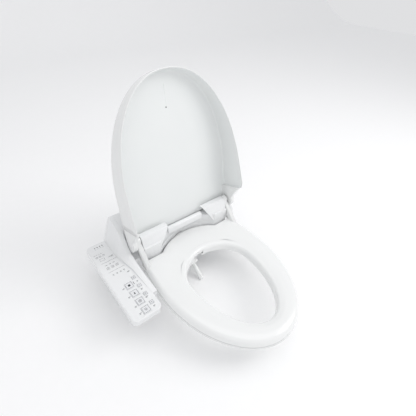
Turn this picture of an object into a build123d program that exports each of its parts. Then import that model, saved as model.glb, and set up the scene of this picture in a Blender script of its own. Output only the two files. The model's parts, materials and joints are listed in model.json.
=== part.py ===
from build123d import *

import os
from math import cos, pi, radians, sin

# Electric bidet seat: a warm-water washing seat that replaces the seat of a toilet.
# Millimetres. Origin: midway between the two mounting bolts, on the plane of the bowl's rim.
# +X is to the right in a front view, +Y is towards the cistern, +Z is up. The control arm is
# on the -X side. The lid is drawn open, the seat down and the nozzle extended.

# ---- main body ----------------------------------------------------------------------------

BODY_HALF = 191.5          # half width between the two outer towers
TOWER_T = 12.0             # thickness of a tower outside the lid cheek
BODY_REAR = 54.0           # y of the rear wall
BODY_TOP = 142.0           # top of the rear cover
TOP_FRONT_Y = -8.0         # front edge of the sloping top
TOP_FRONT_Z = 118.0
COVER_FRONT = -20.0        # lower front of the rear cover, behind the lid's edge
WALL = 2.6                 # moulded wall of the casings
SPLIT_Z = 46.0             # joint line between the base and the cover
LOBE_IN = 108.0            # inner edge of a front lobe at its foot
LOBE_IN_TOP = 68.0         # inner edge of a front lobe at its top
LOBE_OUT = 158.0           # outer edge of a front lobe
LOBE_FRONT = -76.0         # front face of the lobes at their foot
LOBE_LEAN = 20.0           # how far a lobe leans back at its top
LOBE_REAR = -40.0
LOBE_TOP = 109.0
RECESS_FRONT = -38.0       # deepest point of the concave front wall
TROUGH_Z = 77.0            # floor of the trough that the lid's rear edge turns in
ROLL_R = 8.0               # roll between the lobes
ROLL_HALF = 64.0
BASE_PLATE_T = 7.0         # base plate under the rear of the seat
BASE_PLATE_FRONT = -108.0
BASE_PLATE_HALF = 78.0
GUARD_DEPTH = 28.0          # apron that hangs from the base plate into the bowl
GUARD_STRIP = 7.0          # strip left above the nozzle's window
POCKET_FRONT = -30.0       # front of the base in the hinge pockets
POCKET_TOP = 62.0
COVER_R = 5.0              # rounding of the cover's long edges
MOUNT_RECESS = 5.0         # room under the base floor for the mounting plate

# ---- hinge line shared by the lid and the seat --------------------------------------------

HINGE_Y = -48.0
HINGE_Z = 98.0
PIN_R = 5.0
PIN_GRIP = 20.0            # length of a hinge pin held in the lobe
HINGE_FIT = 0.08           # radial running clearance on a hinge pin
PIN_END_GAP = 0.5

# ---- lid, described closed and then turned open --------------------------------------------

LID_HALF = 190.0
LID_LENGTH = 434.0         # from the hinge line to the front edge
LID_STRAIGHT = 132.0       # length of the straight sides from the hinge line
LID_POWER = 2.15           # roundness of the front
LID_OPEN = 112.0           # opening angle in degrees
LID_RIM_Z = 18.0           # lower edge when closed
LID_FLOOR_REAR = 114.0     # underside of the lid plate over the hinge
LID_FLOOR_FRONT = 49.0     # underside of the lid plate at the front edge
LID_REAR_LIP = 8.0         # how far the plate reaches behind the hinge line
LID_THICK = 8.0            # plate thickness: two skins and a gap
LID_SKIN = 3.0
LINER_SKIN = 2.2
CHEEK_R = 27.0             # rounded end of a cheek about the hinge line
CHEEK_IN = 178.0           # inner face of a cheek
CHEEK_SEAM = 44.0          # distance of the cheek's seam from the hinge line
RIM_CORNER = 62.0          # distance of the rim's rear corner from the hinge line
LID_TOP_R = 6.0            # rounding of the outer edge
SLOT_LENGTH = 62.0
SLOT_INSET = 34.0
BUSH_T = 1.8

# ---- seat ring -----------------------------------------------------------------------------

SEAT_HALF = 184.0
SEAT_FRONT = -474.0
SEAT_CENTRE = -212.0       # where the sides start to close in towards the front
SEAT_REAR_HALF = 170.0     # half width at the rear
SEAT_BOTTOM = 12.0
SEAT_TOP = 42.0
SEAT_GAP = 3.0             # gap between the seat and the body
SEAT_WALL = 3.0
SEAT_SPLIT = 18.0
HOLE_HALF = 105.0
HOLE_FRONT = -421.0
HOLE_REAR = -143.0
HOLE_WIDE = -235.0         # y where the opening is widest
SEAT_EDGE_R = 10.0
EAR_IN = 160.0
EAR_T = 14.0
EAR_R = 12.0
HEATER_T = 1.2
SEAT_PAD_R = 9.0
SEAT_PAD_FRONT = (75.0, -425.0)
SEAT_PAD_SIDE = (150.0, -215.0)
SEAT_SCREW_R = 2.0

# ---- control arm ---------------------------------------------------------------------------

ARM_OUT = 286.0            # outer side, on -X
ARM_FRONT = -238.0
ARM_BOTTOM = 27.0
ARM_TOP = 47.0
ARM_SPLIT = 34.0
ARM_CORNER = 16.0
ARM_WALL = 2.4
SHEET_T = 0.6
SHEET_INSET = 3.5
BUTTON_SIZE = 21.0
BUTTON_FIT = 0.4
BUTTON_TRAVEL = 0.8
BUTTON_PROUD = 1.0
BUTTON_X = -243.0
BUTTON_Y = -135.0
BUTTON_PITCH = 28.5
SMALL_BUTTON = 11.0
SMALL_X = -221.0
SMALL_Y = -118.0
SMALL_PITCH = 31.0
LAMP_R = 1.6
LAMP_X = -262.0
LAMP_Y = 40.0
LAMP_PITCH = 7.6
LAMP_COUNT = 4
PCB_T = 1.6
PCB_X0 = 8.0               # main board, clear of the drawn-in nozzle
PCB_LENGTH = 100.0
FAIRING_OUT = 226.0        # foot of the ramp from the tower down to the arm
FAIRING_FRONT = -190.0

# ---- nozzle unit ---------------------------------------------------------------------------

NOZZLE_X = -14.0
NOZZLE_TILT = 33.0         # slope below the horizontal
NOZZLE_EXIT_Y = -95.0
NOZZLE_EXIT_Z = -20.0
NOZZLE_R = 7.0
NOZZLE_OUT = 88.0          # length beyond the exit when extended
NOZZLE_STROKE = 78.0
NOZZLE_TIP = 22.0
NOZZLE_BORE = 2.5
NOZZLE_FIT = 0.5
HOUSING_T = 2.4
HOUSING_LENGTH = 160.0
RACK_W = 4.0
RACK_H = 3.0
TOOTH_PITCH = 3.0
TOOTH_W = 1.0
TOOTH_H = 1.5
TOOTH_DEPTH = 1.1          # depth of mesh between rack and pinion
PINION_TEETH = 14
PINION_AT = 84.0           # distance of the pinion behind the exit
PINION_T = 5.0
SHAFT_R = 1.5
SHAFT_FIT = 0.05
MOTOR_R = 6.0
MOTOR_LENGTH = 13.0
FLAP_W = 30.0
FLAP_LENGTH = 26.0
FLAP_T = 2.0
FLAP_EYE_R = 2.6
FLAP_EYE_HALF = 8.5
FLAP_PIN_R = 1.2
FLAP_AHEAD = 4.0           # distance of the flap's pin in front of the exit
LUG_T = 3.0
SPRAY_R = 0.8

# ---- mounting and services -----------------------------------------------------------------

BOLT_SPACING = 140.0
BOLT_R = 4.0
THREAD_RELIEF = 0.15       # the threaded end is this much thinner than the plain shank
NECK_SHARE = 1.4           # width of the square neck, in bolt radii
BOLT_HEAD_R = 8.0
BOLT_FIT = 0.4
BOLT_LENGTH = 72.0
SHANK_GAP = 0.3            # the plain shank ends this far from the plate and the cones
RIM_THICK = 36.0           # thickness of the bowl's deck that the bolts clamp
CONE_HEIGHT = 14.0
MOUNT_HALF_X = 96.0
MOUNT_HALF_Y = 26.0
MOUNT_T = 4.0
INLET_R = 8.0
INLET_Y = 30.0
INLET_Z = 16.0
INLET_LENGTH = 18.0
INLET_BORE = 4.0
HOSE_R = 4.0
GLAND_R = 7.0
GLAND_Y = 44.0
GLAND_Z = 56.0
TANK_X0 = 46.0
TANK_X1 = 140.0
TANK_Y0 = -12.0
TANK_Y1 = 42.0
TANK_Z1 = 66.0
TANK_WALL = 2.5
VALVE_X = -170.0
VALVE_LENGTH = 34.0
FAN_X = -100.0
FAN_Y = 16.0
FAN_R = 29.0
FAN_H = 26.0
FAN_BLADES = 16
FAN_WALL = 2.0
FAN_GAP = 2.0
FILTER_Y0 = -6.0
FILTER_Y1 = 34.0
FILTER_Z0 = 12.0
FILTER_Z1 = 40.0
FILTER_IN = 158.0
FILTER_FIT = 0.5
FILTER_GRIP = 3.0
RELEASE_Y = -52.0
RELEASE_Z = 20.0
RELEASE_HALF = 7.0
RELEASE_FIT = 0.4
RELEASE_PROUD = 4.0
RELEASE_TRAVEL = 3.0
RELEASE_DEPTH = 5.0
GLAND_SEAT = 6.0
SCREW_R = 1.6
SCREW_HEAD_R = 3.2
SCREW_HEAD_DEEP = 3.2       # height of the pocket for a screw head
POST_R = 4.0


# ---- drawing helpers -----------------------------------------------------------------------


def block(x0, x1, y0, y1, z0, z1):
    centre = Pos((x0 + x1) / 2, (y0 + y1) / 2, (z0 + z1) / 2)
    return centre * Box(x1 - x0, y1 - y0, z1 - z0)


def rod_x(x0, x1, y, z, r):
    return Pos((x0 + x1) / 2, y, z) * Rot(0, 90, 0) * Cylinder(r, x1 - x0)


def rod_y(x, y0, y1, z, r):
    return Pos(x, (y0 + y1) / 2, z) * Rot(90, 0, 0) * Cylinder(r, y1 - y0)


def rod_z(x, y, z0, z1, r):
    return Pos(x, y, (z0 + z1) / 2) * Cylinder(r, z1 - z0)


def side_view(points, x0, x1):
    """Solid between x0 and x1 whose side view is the closed outline of (y, z) points."""
    outline = make_face(Polyline(*points, close=True))
    return extrude(Plane.YZ.offset(x0) * outline, x1 - x0)


def plan(outline, z0, z1):
    """Solid between z0 and z1 whose plan is the given closed line."""
    return extrude(Pos(0, 0, z0) * make_face(outline), z1 - z0)


def rounded_plan(x0, x1, y0, y1, z0, z1, radius):
    centre = Pos((x0 + x1) / 2, (y0 + y1) / 2, z0)
    return extrude(centre * RectangleRounded(x1 - x0, y1 - y0, radius), z1 - z0)


def mirror_x(shape):
    return mirror(shape, Plane.YZ)


def both(shape):
    """A piece and its mirror image on the other side."""
    return [shape, mirror_x(shape)]


def lifted(shape, angle):
    """Turn a piece about the hinge line, positive upwards."""
    return shape.rotate(Axis((0, HINGE_Y, HINGE_Z), (-1, 0, 0)), angle)


def on_nozzle(shape):
    """Place a piece drawn along -Y from the nozzle's exit onto the nozzle's sloping line."""
    return Pos(NOZZLE_X, NOZZLE_EXIT_Y, NOZZLE_EXIT_Z) * Rot(NOZZLE_TILT, 0, 0) * shape


# ---- lid -----------------------------------------------------------------------------------


def lid_outline(inset):
    """Plan of the lid: straight sides and a blunt rounded front, all moved in by inset."""
    half = LID_HALF - inset
    start_y = HINGE_Y - LID_STRAIGHT
    depth = LID_LENGTH - LID_STRAIGHT - inset
    steps = 8
    right = []
    for i in range(1, steps):
        turn = radians(90 * i / steps)
        x = half * cos(turn) ** (2 / LID_POWER)
        y = start_y - depth * sin(turn) ** (2 / LID_POWER)
        right.append((x, y))
    left = [(-x, y) for x, y in reversed(right)]
    points = [(half, start_y)] + right + [(0, start_y - depth)] + left + [(-half, start_y)]
    front = Spline(*points, tangents=[(0, -1), (0, 1)])
    rear_y = HINGE_Y + CHEEK_R
    rear = Polyline((-half, start_y), (-half, rear_y), (half, rear_y), (half, start_y))
    return front + rear


def lid_plane_z(y, height):
    """Height of the sloping lid plate at y, measured from its underside."""
    slope = (LID_FLOOR_REAR - LID_FLOOR_FRONT) / LID_LENGTH
    return LID_FLOOR_REAR + (y - HINGE_Y) * slope + height


def under_lid_plane(height):
    """Everything below the sloping plane at a height above the plate's underside."""
    rear_y = HINGE_Y + 2 * CHEEK_R
    front_y = HINGE_Y - LID_LENGTH - 20
    points = [
        (rear_y, lid_plane_z(rear_y, height)),
        (front_y, lid_plane_z(front_y, height)),
        (front_y, 0),
        (rear_y, 0),
    ]
    return side_view(points, -LID_HALF - 10, LID_HALF + 10)


def cheek_side():
    """Side outline of the lid's walls: a round end about the hinge and a rounded rim corner."""
    reach = LID_HALF + 5
    corner_y = HINGE_Y - RIM_CORNER
    front_y = HINGE_Y - LID_LENGTH - 10
    points = [
        (HINGE_Y - 6, HINGE_Z - CHEEK_R + 0.7),
        (HINGE_Y - 6, LID_FLOOR_REAR + 30),
        (front_y, LID_FLOOR_REAR + 30),
        (front_y, LID_RIM_Z),
        (corner_y, LID_RIM_Z),
        (corner_y + 14, LID_RIM_Z + 6),
        (corner_y + 32, LID_RIM_Z + 28),
    ]
    return side_view(points, -reach, reach) + rod_x(-reach, reach, HINGE_Y, HINGE_Z, CHEEK_R)


def lid_body():
    """Outer form of the lid with its upper edge rounded."""
    top_z = LID_FLOOR_REAR + LID_THICK + 20
    outer = plan(lid_outline(0), LID_RIM_Z, top_z) & under_lid_plane(LID_THICK)
    rear_y = HINGE_Y + CHEEK_R - 2
    upper = [
        e
        for e in outer.edges()
        if abs(e.center().Z - lid_plane_z(e.center().Y, LID_THICK)) < 3
        and e.center().Y < rear_y
    ]
    outer = fillet(upper, LID_TOP_R)
    return outer & cheek_side()


def cheek_zone():
    return block(CHEEK_IN, LID_HALF + 5, HINGE_Y - CHEEK_SEAM, HINGE_Y + 60, 0, 200)


def lid_slot():
    """Shallow slot with a round end, pressed into the liner near the front edge."""
    y0 = HINGE_Y - LID_LENGTH + SLOT_INSET
    y1 = y0 + SLOT_LENGTH
    slot = block(-1.6, 1.6, y0, y1, LID_RIM_Z, 120) + rod_z(0, y1, LID_RIM_Z, 120, 3.5)
    return slot & under_lid_plane(1.0)


def make_lid_shell(outer):
    top_z = LID_FLOOR_REAR + LID_THICK + 20
    dish = plan(lid_outline(LID_SKIN), LID_RIM_Z - 1, top_z) & under_lid_plane(LID_THICK - LID_SKIN)
    shell = outer - dish
    shell -= block(-CHEEK_IN, CHEEK_IN, HINGE_Y + LID_REAR_LIP, HINGE_Y + 60, 0, 200)
    for zone in both(cheek_zone()):
        shell -= zone
    return shell


def make_lid_liner():
    """Inner panel of the lid with stiffening ribs up to the shell."""
    top_z = LID_FLOOR_REAR + LID_THICK + 20
    full = plan(lid_outline(LID_SKIN), LID_RIM_Z, top_z)
    panel = (full & under_lid_plane(LINER_SKIN)) - under_lid_plane(0)
    panel &= block(-LID_HALF, LID_HALF, -600, HINGE_Y + LID_REAR_LIP, 0, 200)
    for zone in both(cheek_zone()):
        panel -= zone
    ribs = []
    for i in range(5):
        x = -120 + 60 * i
        rib = block(x - 1, x + 1, HINGE_Y - LID_LENGTH * 0.8, HINGE_Y - 10, 0, 200)
        ribs.append((rib & under_lid_plane(LID_THICK - LID_SKIN)) - under_lid_plane(LINER_SKIN))
    for rib in ribs:
        panel += rib
    return panel - lid_slot()


def make_lid_cheek(outer):
    """Hinge cap at the right rear corner of the lid, bored for the hinge pin."""
    cheek = outer & cheek_zone()
    return cheek - rod_x(CHEEK_IN - 1, LID_HALF - LID_SKIN, HINGE_Y, HINGE_Z, bush_r())


def bush_r():
    return PIN_R + HINGE_FIT + BUSH_T


def bushes(x0, x1):
    """Pair of plain plastic bushes that run on the hinge pins."""
    bush = rod_x(x0, x1, HINGE_Y, HINGE_Z, bush_r())
    bush -= rod_x(x0 - 1, x1 + 1, HINGE_Y, HINGE_Z, PIN_R + HINGE_FIT)
    return Compound(children=both(bush))


# ---- seat ----------------------------------------------------------------------------------


def seat_outline(inset):
    """Plan of the seat: elliptical front, sides closing in, rear edge nested in the body."""
    half = SEAT_HALF - inset
    rear_half = SEAT_REAR_HALF - inset
    lobe_y = LOBE_FRONT - SEAT_GAP - inset
    recess_y = RECESS_FRONT - SEAT_GAP - inset
    inner = LOBE_IN - SEAT_GAP - inset
    middle_y = (SEAT_CENTRE + lobe_y) / 2
    middle = half - (half - rear_half) * 0.26
    depth = SEAT_CENTRE - SEAT_FRONT - inset
    front = EllipticalCenterArc((0, SEAT_CENTRE), half, depth, start_angle=180, arc_size=180)
    right = ThreePointArc((half, SEAT_CENTRE), (middle, middle_y), (rear_half, lobe_y))
    left = ThreePointArc((-half, SEAT_CENTRE), (-middle, middle_y), (-rear_half, lobe_y))
    steps = [Line((rear_half, lobe_y), (inner, lobe_y)), Line((-rear_half, lobe_y), (-inner, lobe_y))]
    bulge = ThreePointArc((inner, lobe_y), (0, recess_y), (-inner, lobe_y))
    return front + right + left + steps + bulge


def hole_outline(grow):
    """Plan of the opening: an egg, narrower towards the front."""
    half = HOLE_HALF + grow
    front_depth = HOLE_WIDE - HOLE_FRONT + grow
    rear_depth = HOLE_REAR - HOLE_WIDE + grow
    front = EllipticalCenterArc((0, HOLE_WIDE), half, front_depth, start_angle=180, arc_size=180)
    rear = EllipticalCenterArc((0, HOLE_WIDE), half, rear_depth, start_angle=0, arc_size=180)
    return front + rear


def seat_ear():
    """Arm that carries the seat up to the hinge line, with its round eye."""
    foot_y = LOBE_FRONT - SEAT_GAP - 2
    points = [
        (HINGE_Y - EAR_R, HINGE_Z),
        (HINGE_Y + EAR_R * 0.7, HINGE_Z - EAR_R * 0.7),
        (foot_y, SEAT_TOP - 8),
        (foot_y, SEAT_SPLIT + 3),
        (foot_y - 34, SEAT_SPLIT + 3),
        (foot_y - 34, SEAT_TOP - 3),
    ]
    ear = side_view(points, EAR_IN, EAR_IN + EAR_T)
    return ear + rod_x(EAR_IN, EAR_IN + EAR_T, HINGE_Y, HINGE_Z, EAR_R)


def ring_body():
    """Seat ring with rounded upper edges and a relief over the nozzle unit."""
    ring = plan(seat_outline(0), SEAT_BOTTOM, SEAT_TOP)
    ring -= plan(hole_outline(0), SEAT_BOTTOM - 1, SEAT_TOP + 1)
    long_edges = [e for e in ring.edges().group_by(Axis.Z)[-1] if e.length > 100]
    return fillet(long_edges, SEAT_EDGE_R)


def nozzle_relief():
    """Room under the rear of the seat for the nozzle unit."""
    half = housing_half() + 4
    return block(NOZZLE_X - half, NOZZLE_X + half, HOLE_REAR - 10, 0, 0, SEAT_TOP - SEAT_WALL - 7)


def make_seat_top(ring):
    top = ring & block(-300, 300, -600, 100, SEAT_SPLIT, 100)
    cavity = plan(seat_outline(SEAT_WALL), SEAT_SPLIT - 1, SEAT_TOP - SEAT_WALL)
    cavity -= plan(hole_outline(SEAT_WALL), SEAT_SPLIT - 2, SEAT_TOP)
    inner = [e for e in cavity.edges().group_by(Axis.Z)[-1] if e.length > 100]
    top -= fillet(inner, SEAT_EDGE_R - SEAT_WALL)
    for ear in both(seat_ear()):
        top += ear
    for eye in both(rod_x(EAR_IN - 1, EAR_IN + EAR_T + 1, HINGE_Y, HINGE_Z, bush_r())):
        top -= eye
    return top - nozzle_relief()


def make_seat_base(ring):
    base = ring & block(-300, 300, -600, 100, 0, SEAT_SPLIT)
    base -= nozzle_relief()
    for x, y in seat_pad_places():
        base -= rod_z(x, y, 0, SEAT_BOTTOM + 2, SEAT_PAD_R)
    for x, y in seat_screw_places():
        base -= rod_z(x, y, 0, SEAT_SPLIT + 1, SEAT_SCREW_R)
    return base


def seat_pad_places():
    return [(side * x, y) for x, y in (SEAT_PAD_FRONT, SEAT_PAD_SIDE) for side in (-1, 1)]


def make_seat_pads():
    """Rubber buffers under the seat that stand on the bowl's rim."""
    pads = []
    for x, y in seat_pad_places():
        pad = rod_z(x, y, 0, SEAT_BOTTOM + 2, SEAT_PAD_R)
        pads.append(chamfer(pad.edges().group_by(Axis.Z)[0], 2))
    return Compound(children=pads)


def seat_screw_places():
    places = []
    for angle in (205, 235, 305, 335):
        x = 0.78 * SEAT_HALF * cos(radians(angle))
        y = SEAT_CENTRE + 0.86 * (SEAT_CENTRE - SEAT_FRONT) * sin(radians(angle))
        places.append((x, y))
    return places + [(-140, -110), (140, -110)]


def make_seat_screws():
    """Self-tapping screws that close the seat from below."""
    screws = []
    for x, y in seat_screw_places():
        shank = rod_z(x, y, SEAT_BOTTOM, SEAT_SPLIT + 0.01, SEAT_SCREW_R)
        head = rod_z(x, y, SEAT_BOTTOM - 2, SEAT_BOTTOM, 2 * SEAT_SCREW_R)
        slot = block(x - 0.4, x + 0.4, y - 2.6, y + 2.6, SEAT_BOTTOM - 2.1, SEAT_BOTTOM - 1)
        screws.append(shank + head - slot)
    return Compound(children=screws)


def make_seat_heater():
    """Heating film bonded under the seat's upper skin."""
    inset = SEAT_WALL + SEAT_EDGE_R + 4
    top_z = SEAT_TOP - SEAT_WALL
    film = plan(seat_outline(inset), top_z - HEATER_T, top_z)
    film -= plan(hole_outline(inset), top_z - 5, top_z + 1)
    return film


# ---- main body -----------------------------------------------------------------------------


def rear_points(inset, front_y, front_z):
    """Rear wall and sloping top of the body in side view, moved in by inset."""
    rear = BODY_REAR - inset
    top = BODY_TOP - inset
    return [
        (rear, top - 13),
        (rear - 13, top),
        (front_y, front_z - inset),
    ]


def core_body(inset):
    """Casing behind the lid, between the hinge pockets."""
    half = LOBE_OUT - inset
    points = rear_points(inset, TOP_FRONT_Y + inset, TOP_FRONT_Z)
    points += [(COVER_FRONT + inset, TROUGH_Z + 12), (COVER_FRONT + inset, inset)]
    points += [(BODY_REAR - inset, inset)]
    return side_view(points, -half, half)


def front_body(inset):
    """Front wall that follows the curve of the seat, under the trough."""
    half = LOBE_OUT - inset
    outline = ThreePointArc(
        (-LOBE_IN, LOBE_FRONT + inset), (0, RECESS_FRONT + inset), (LOBE_IN, LOBE_FRONT + inset)
    )
    outline += Polyline(
        (LOBE_IN, LOBE_FRONT + inset),
        (half, LOBE_FRONT + inset),
        (half, COVER_FRONT + inset),
        (-half, COVER_FRONT + inset),
        (-half, LOBE_FRONT + inset),
        (-LOBE_IN, LOBE_FRONT + inset),
    )
    return plan(outline, inset, TROUGH_Z - inset)


def lobe(inset):
    """Right front lobe: it leans back and widens inwards towards its top."""
    top = LOBE_TOP - inset
    points = [
        (LOBE_REAR - inset, top),
        (LOBE_FRONT + LOBE_LEAN + inset, top),
        (LOBE_FRONT + 0.6 * LOBE_LEAN + inset, top - 10),
        (LOBE_FRONT + inset, SPLIT_Z),
        (LOBE_FRONT + inset, inset),
        (LOBE_REAR - inset, inset),
    ]
    front = Polyline(
        (LOBE_IN + inset, inset),
        (LOBE_OUT - inset, inset),
        (LOBE_OUT - inset, top),
        (LOBE_IN_TOP + inset, top),
        (LOBE_IN + inset, SPLIT_Z),
        close=True,
    )
    form = extrude(Plane.XZ.offset(-LOBE_REAR) * make_face(front), 60)
    return form & side_view(points, LOBE_IN_TOP, LOBE_OUT)


def pocket_body(inset):
    """Low casing behind the hinge pocket, between the lobe and the tower."""
    points = rear_points(inset, TOP_FRONT_Y + inset, TOP_FRONT_Z)
    points += [
        (HINGE_Y + CHEEK_R + 3 + inset, HINGE_Z),
        (HINGE_Y + CHEEK_R + 3 + inset, POCKET_TOP + 4),
        (POCKET_FRONT + inset, POCKET_TOP - inset),
        (POCKET_FRONT + inset, inset),
        (BODY_REAR - inset, inset),
    ]
    return side_view(points, LOBE_OUT - 2 * inset, BODY_HALF - inset)


def roll():
    """Rounded bar between the lobes, just in front of the open lid's lower edge."""
    y = LOBE_REAR - ROLL_R - 1
    z = TROUGH_Z + ROLL_R
    bar = rod_x(-ROLL_HALF, ROLL_HALF, y, z, ROLL_R)
    web = block(-ROLL_HALF, ROLL_HALF, y, y + ROLL_R, TROUGH_Z - 6, z)
    return bar + web + block(-ROLL_HALF, ROLL_HALF, y - ROLL_R, y, TROUGH_Z - 6, z)


def body_form(inset):
    form = core_body(inset) + front_body(inset)
    for side in both(lobe(inset)) + both(pocket_body(inset)):
        form += side
    return form


def nozzle_cutout():
    half = housing_half() + 1
    cut = block(-half, half, -20, HOUSING_LENGTH + 4, -half, half + 3)
    return on_nozzle(cut)


def make_base_case():
    """Lower casing with its floor, the plate under the seat and the curved splash guard."""
    outer = body_form(0) & block(-200, 200, -200, 200, 0, SPLIT_Z)
    inner = body_form(WALL) & block(-200, 200, -200, 200, MOUNT_RECESS + WALL, SPLIT_Z + 1)
    case = outer - inner
    rear_y = COVER_FRONT
    arc = ThreePointArc(
        (-BASE_PLATE_HALF, LOBE_FRONT),
        (0, BASE_PLATE_FRONT),
        (BASE_PLATE_HALF, LOBE_FRONT),
    )
    edge = Polyline(
        (BASE_PLATE_HALF, LOBE_FRONT),
        (BASE_PLATE_HALF, rear_y),
        (-BASE_PLATE_HALF, rear_y),
        (-BASE_PLATE_HALF, LOBE_FRONT),
    )
    case += plan(arc + edge, 0, BASE_PLATE_T)
    case -= block(-MOUNT_HALF_X - 1, MOUNT_HALF_X + 1, -MOUNT_HALF_Y - 1, MOUNT_HALF_Y + 1, -1, MOUNT_RECESS)
    for x, y in cover_screw_places():
        case += rod_z(x, y, MOUNT_RECESS, SPLIT_Z, POST_R)
        case -= rod_z(x, y, -1, SPLIT_Z + 1, SCREW_R)
        case -= rod_z(x, y, -1, SCREW_HEAD_DEEP, SCREW_HEAD_R + 0.2)
    case -= nozzle_cutout()
    case -= filter_room()
    case -= inlet_hole()
    return case


def make_splash_guard():
    """Curved apron that hangs from the base plate's front edge into the bowl."""
    depth = GUARD_DEPTH
    outer = ThreePointArc(
        (-BASE_PLATE_HALF, LOBE_FRONT), (0, BASE_PLATE_FRONT), (BASE_PLATE_HALF, LOBE_FRONT)
    )
    inner = ThreePointArc(
        (-BASE_PLATE_HALF, LOBE_FRONT + WALL),
        (0, BASE_PLATE_FRONT + WALL),
        (BASE_PLATE_HALF, LOBE_FRONT + WALL),
    )
    ends = Line((-BASE_PLATE_HALF, LOBE_FRONT), (-BASE_PLATE_HALF, LOBE_FRONT + WALL)) + Line(
        (BASE_PLATE_HALF, LOBE_FRONT), (BASE_PLATE_HALF, LOBE_FRONT + WALL)
    )
    apron = plan(outer + inner + ends, -depth, 0)
    half = FLAP_W / 2 + 2
    return apron - block(NOZZLE_X - half, NOZZLE_X + half, -150, -60, -depth - 1, -GUARD_STRIP)


def make_top_cover():
    """Upper casing: sloping rear cover, trough, two front lobes and the roll."""
    room = block(-200, 200, -200, 200, SPLIT_Z, 200)
    outer = body_form(0) & room
    cover = outer + roll() - body_form(WALL)
    for boss in both(rod_x(LOBE_OUT - PIN_GRIP, LOBE_OUT - WALL, HINGE_Y, HINGE_Z, PIN_R + 3)):
        cover += boss
    for bore in both(rod_x(LOBE_OUT - PIN_GRIP - 1, LOBE_OUT + 1, HINGE_Y, HINGE_Z, PIN_R)):
        cover -= bore
    for x, y in cover_screw_places():
        cover += rod_z(x, y, SPLIT_Z, BODY_TOP, POST_R) & outer
        cover -= rod_z(x, y, SPLIT_Z - 1, SPLIT_Z + 16, SCREW_R)
    return cover


def cover_screw_places():
    return [(-150, -5), (-150, 44), (150, -5), (150, 44)]


# ---- towers and arm ------------------------------------------------------------------------


def tower_points(front):
    """Side view of a tower; front is its lower front edge as a list of points."""
    points = rear_points(0, TOP_FRONT_Y, TOP_FRONT_Z)
    points += [(-24, 103), (-36, 84), (-52, 68)]
    return points + front + [(BODY_REAR, 0)]


def make_tower_right():
    front = [(-66, 50), (-72, 28), (-72, 0)]
    tower = side_view(tower_points(front), BODY_HALF, BODY_HALF + TOWER_T)
    outer_edges = [e for e in tower.edges().group_by(Axis.X)[-1] if e.center().Z > 1]
    tower = fillet(outer_edges, COVER_R)
    tower -= filter_room()
    x1 = BODY_HALF + TOWER_T
    tower -= release_block(x1 - RELEASE_DEPTH - RELEASE_TRAVEL - 1, x1 + 1, RELEASE_FIT)
    return tower - rod_x(x1 - GLAND_SEAT, x1 + 1, GLAND_Y, GLAND_Z, GLAND_R)


def make_tower_left():
    """Left tower with the ramp that runs down to the arm."""
    front = [(-76, 57), (-112, 51), (FAIRING_FRONT, ARM_TOP + 0.2), (FAIRING_FRONT, ARM_BOTTOM)]
    front += [(-72, ARM_BOTTOM), (-72, 0)]
    x0 = -BODY_HALF - TOWER_T
    return side_view(tower_points(front), x0, -BODY_HALF) - inlet_hole()


def make_fairing():
    """Ramp between the left tower and the arm's upper face."""
    x1 = -BODY_HALF - TOWER_T
    high = rear_points(0, TOP_FRONT_Y, TOP_FRONT_Z) + [(-24, 103), (-36, 84), (-52, 68), (-76, 57)]
    high += [(-112, 51), (FAIRING_FRONT, ARM_TOP + 0.2), (FAIRING_FRONT, ARM_TOP), (BODY_REAR, ARM_TOP)]
    low = [(y, ARM_TOP + (z - ARM_TOP) * 0.03) for y, z in high[:-2]] + high[-2:]
    faces = [
        Plane.YZ.offset(x1) * make_face(Polyline(*high, close=True)),
        Plane.YZ.offset(-FAIRING_OUT) * make_face(Polyline(*low, close=True)),
    ]
    ramp = loft(faces, ruled=True)
    foot = Polyline(
        (x1, BODY_REAR),
        (-FAIRING_OUT, BODY_REAR),
        (-FAIRING_OUT, TOP_FRONT_Y - 12),
        (x1 - 7, FAIRING_FRONT / 2),
        (x1 - 2, FAIRING_FRONT),
        (x1, FAIRING_FRONT),
        close=True,
    )
    return ramp & plan(foot, 0, 200)


def arm_form(inset, z0, z1):
    """Plan of the arm, rounded at its outer corners."""
    x0 = -ARM_OUT + inset
    x1 = -BODY_HALF - TOWER_T - inset
    y0 = ARM_FRONT + inset
    y1 = BODY_REAR - inset
    return rounded_plan(x0, x1, y0, y1, z0, z1, ARM_CORNER - inset)


def button_places():
    """Centre and half size of every key: a row of large keys and a column of small ones."""
    places = []
    for i in range(4):
        places.append((f"button_{i + 1}", BUTTON_X, BUTTON_Y - BUTTON_PITCH * i, BUTTON_SIZE / 2))
    for i in range(4):
        name = f"small_button_{i + 1}"
        places.append((name, SMALL_X, SMALL_Y - SMALL_PITCH * i, SMALL_BUTTON / 2))
    return places


def lamp_places():
    return [(LAMP_X + LAMP_PITCH * i, LAMP_Y) for i in range(LAMP_COUNT)]


def make_arm_cover():
    cover = arm_form(0, ARM_SPLIT, ARM_TOP)
    top_edges = [e for e in cover.edges().group_by(Axis.Z)[-1] if e.center().X < -210]
    cover = fillet(top_edges, 2.5)
    cover -= arm_form(ARM_WALL, ARM_SPLIT - 1, ARM_TOP - ARM_WALL)
    cover -= sheet_form(SHEET_INSET, 0, ARM_TOP - SHEET_T, ARM_TOP + 1)
    for _, x, y, half in button_places():
        reach = half + BUTTON_FIT
        cover -= block(x - reach, x + reach, y - reach, y + reach, ARM_SPLIT, ARM_TOP + 1)
    for x, y in lamp_places():
        cover -= rod_z(x, y, ARM_SPLIT, ARM_TOP + 1, LAMP_R)
    return cover


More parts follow.
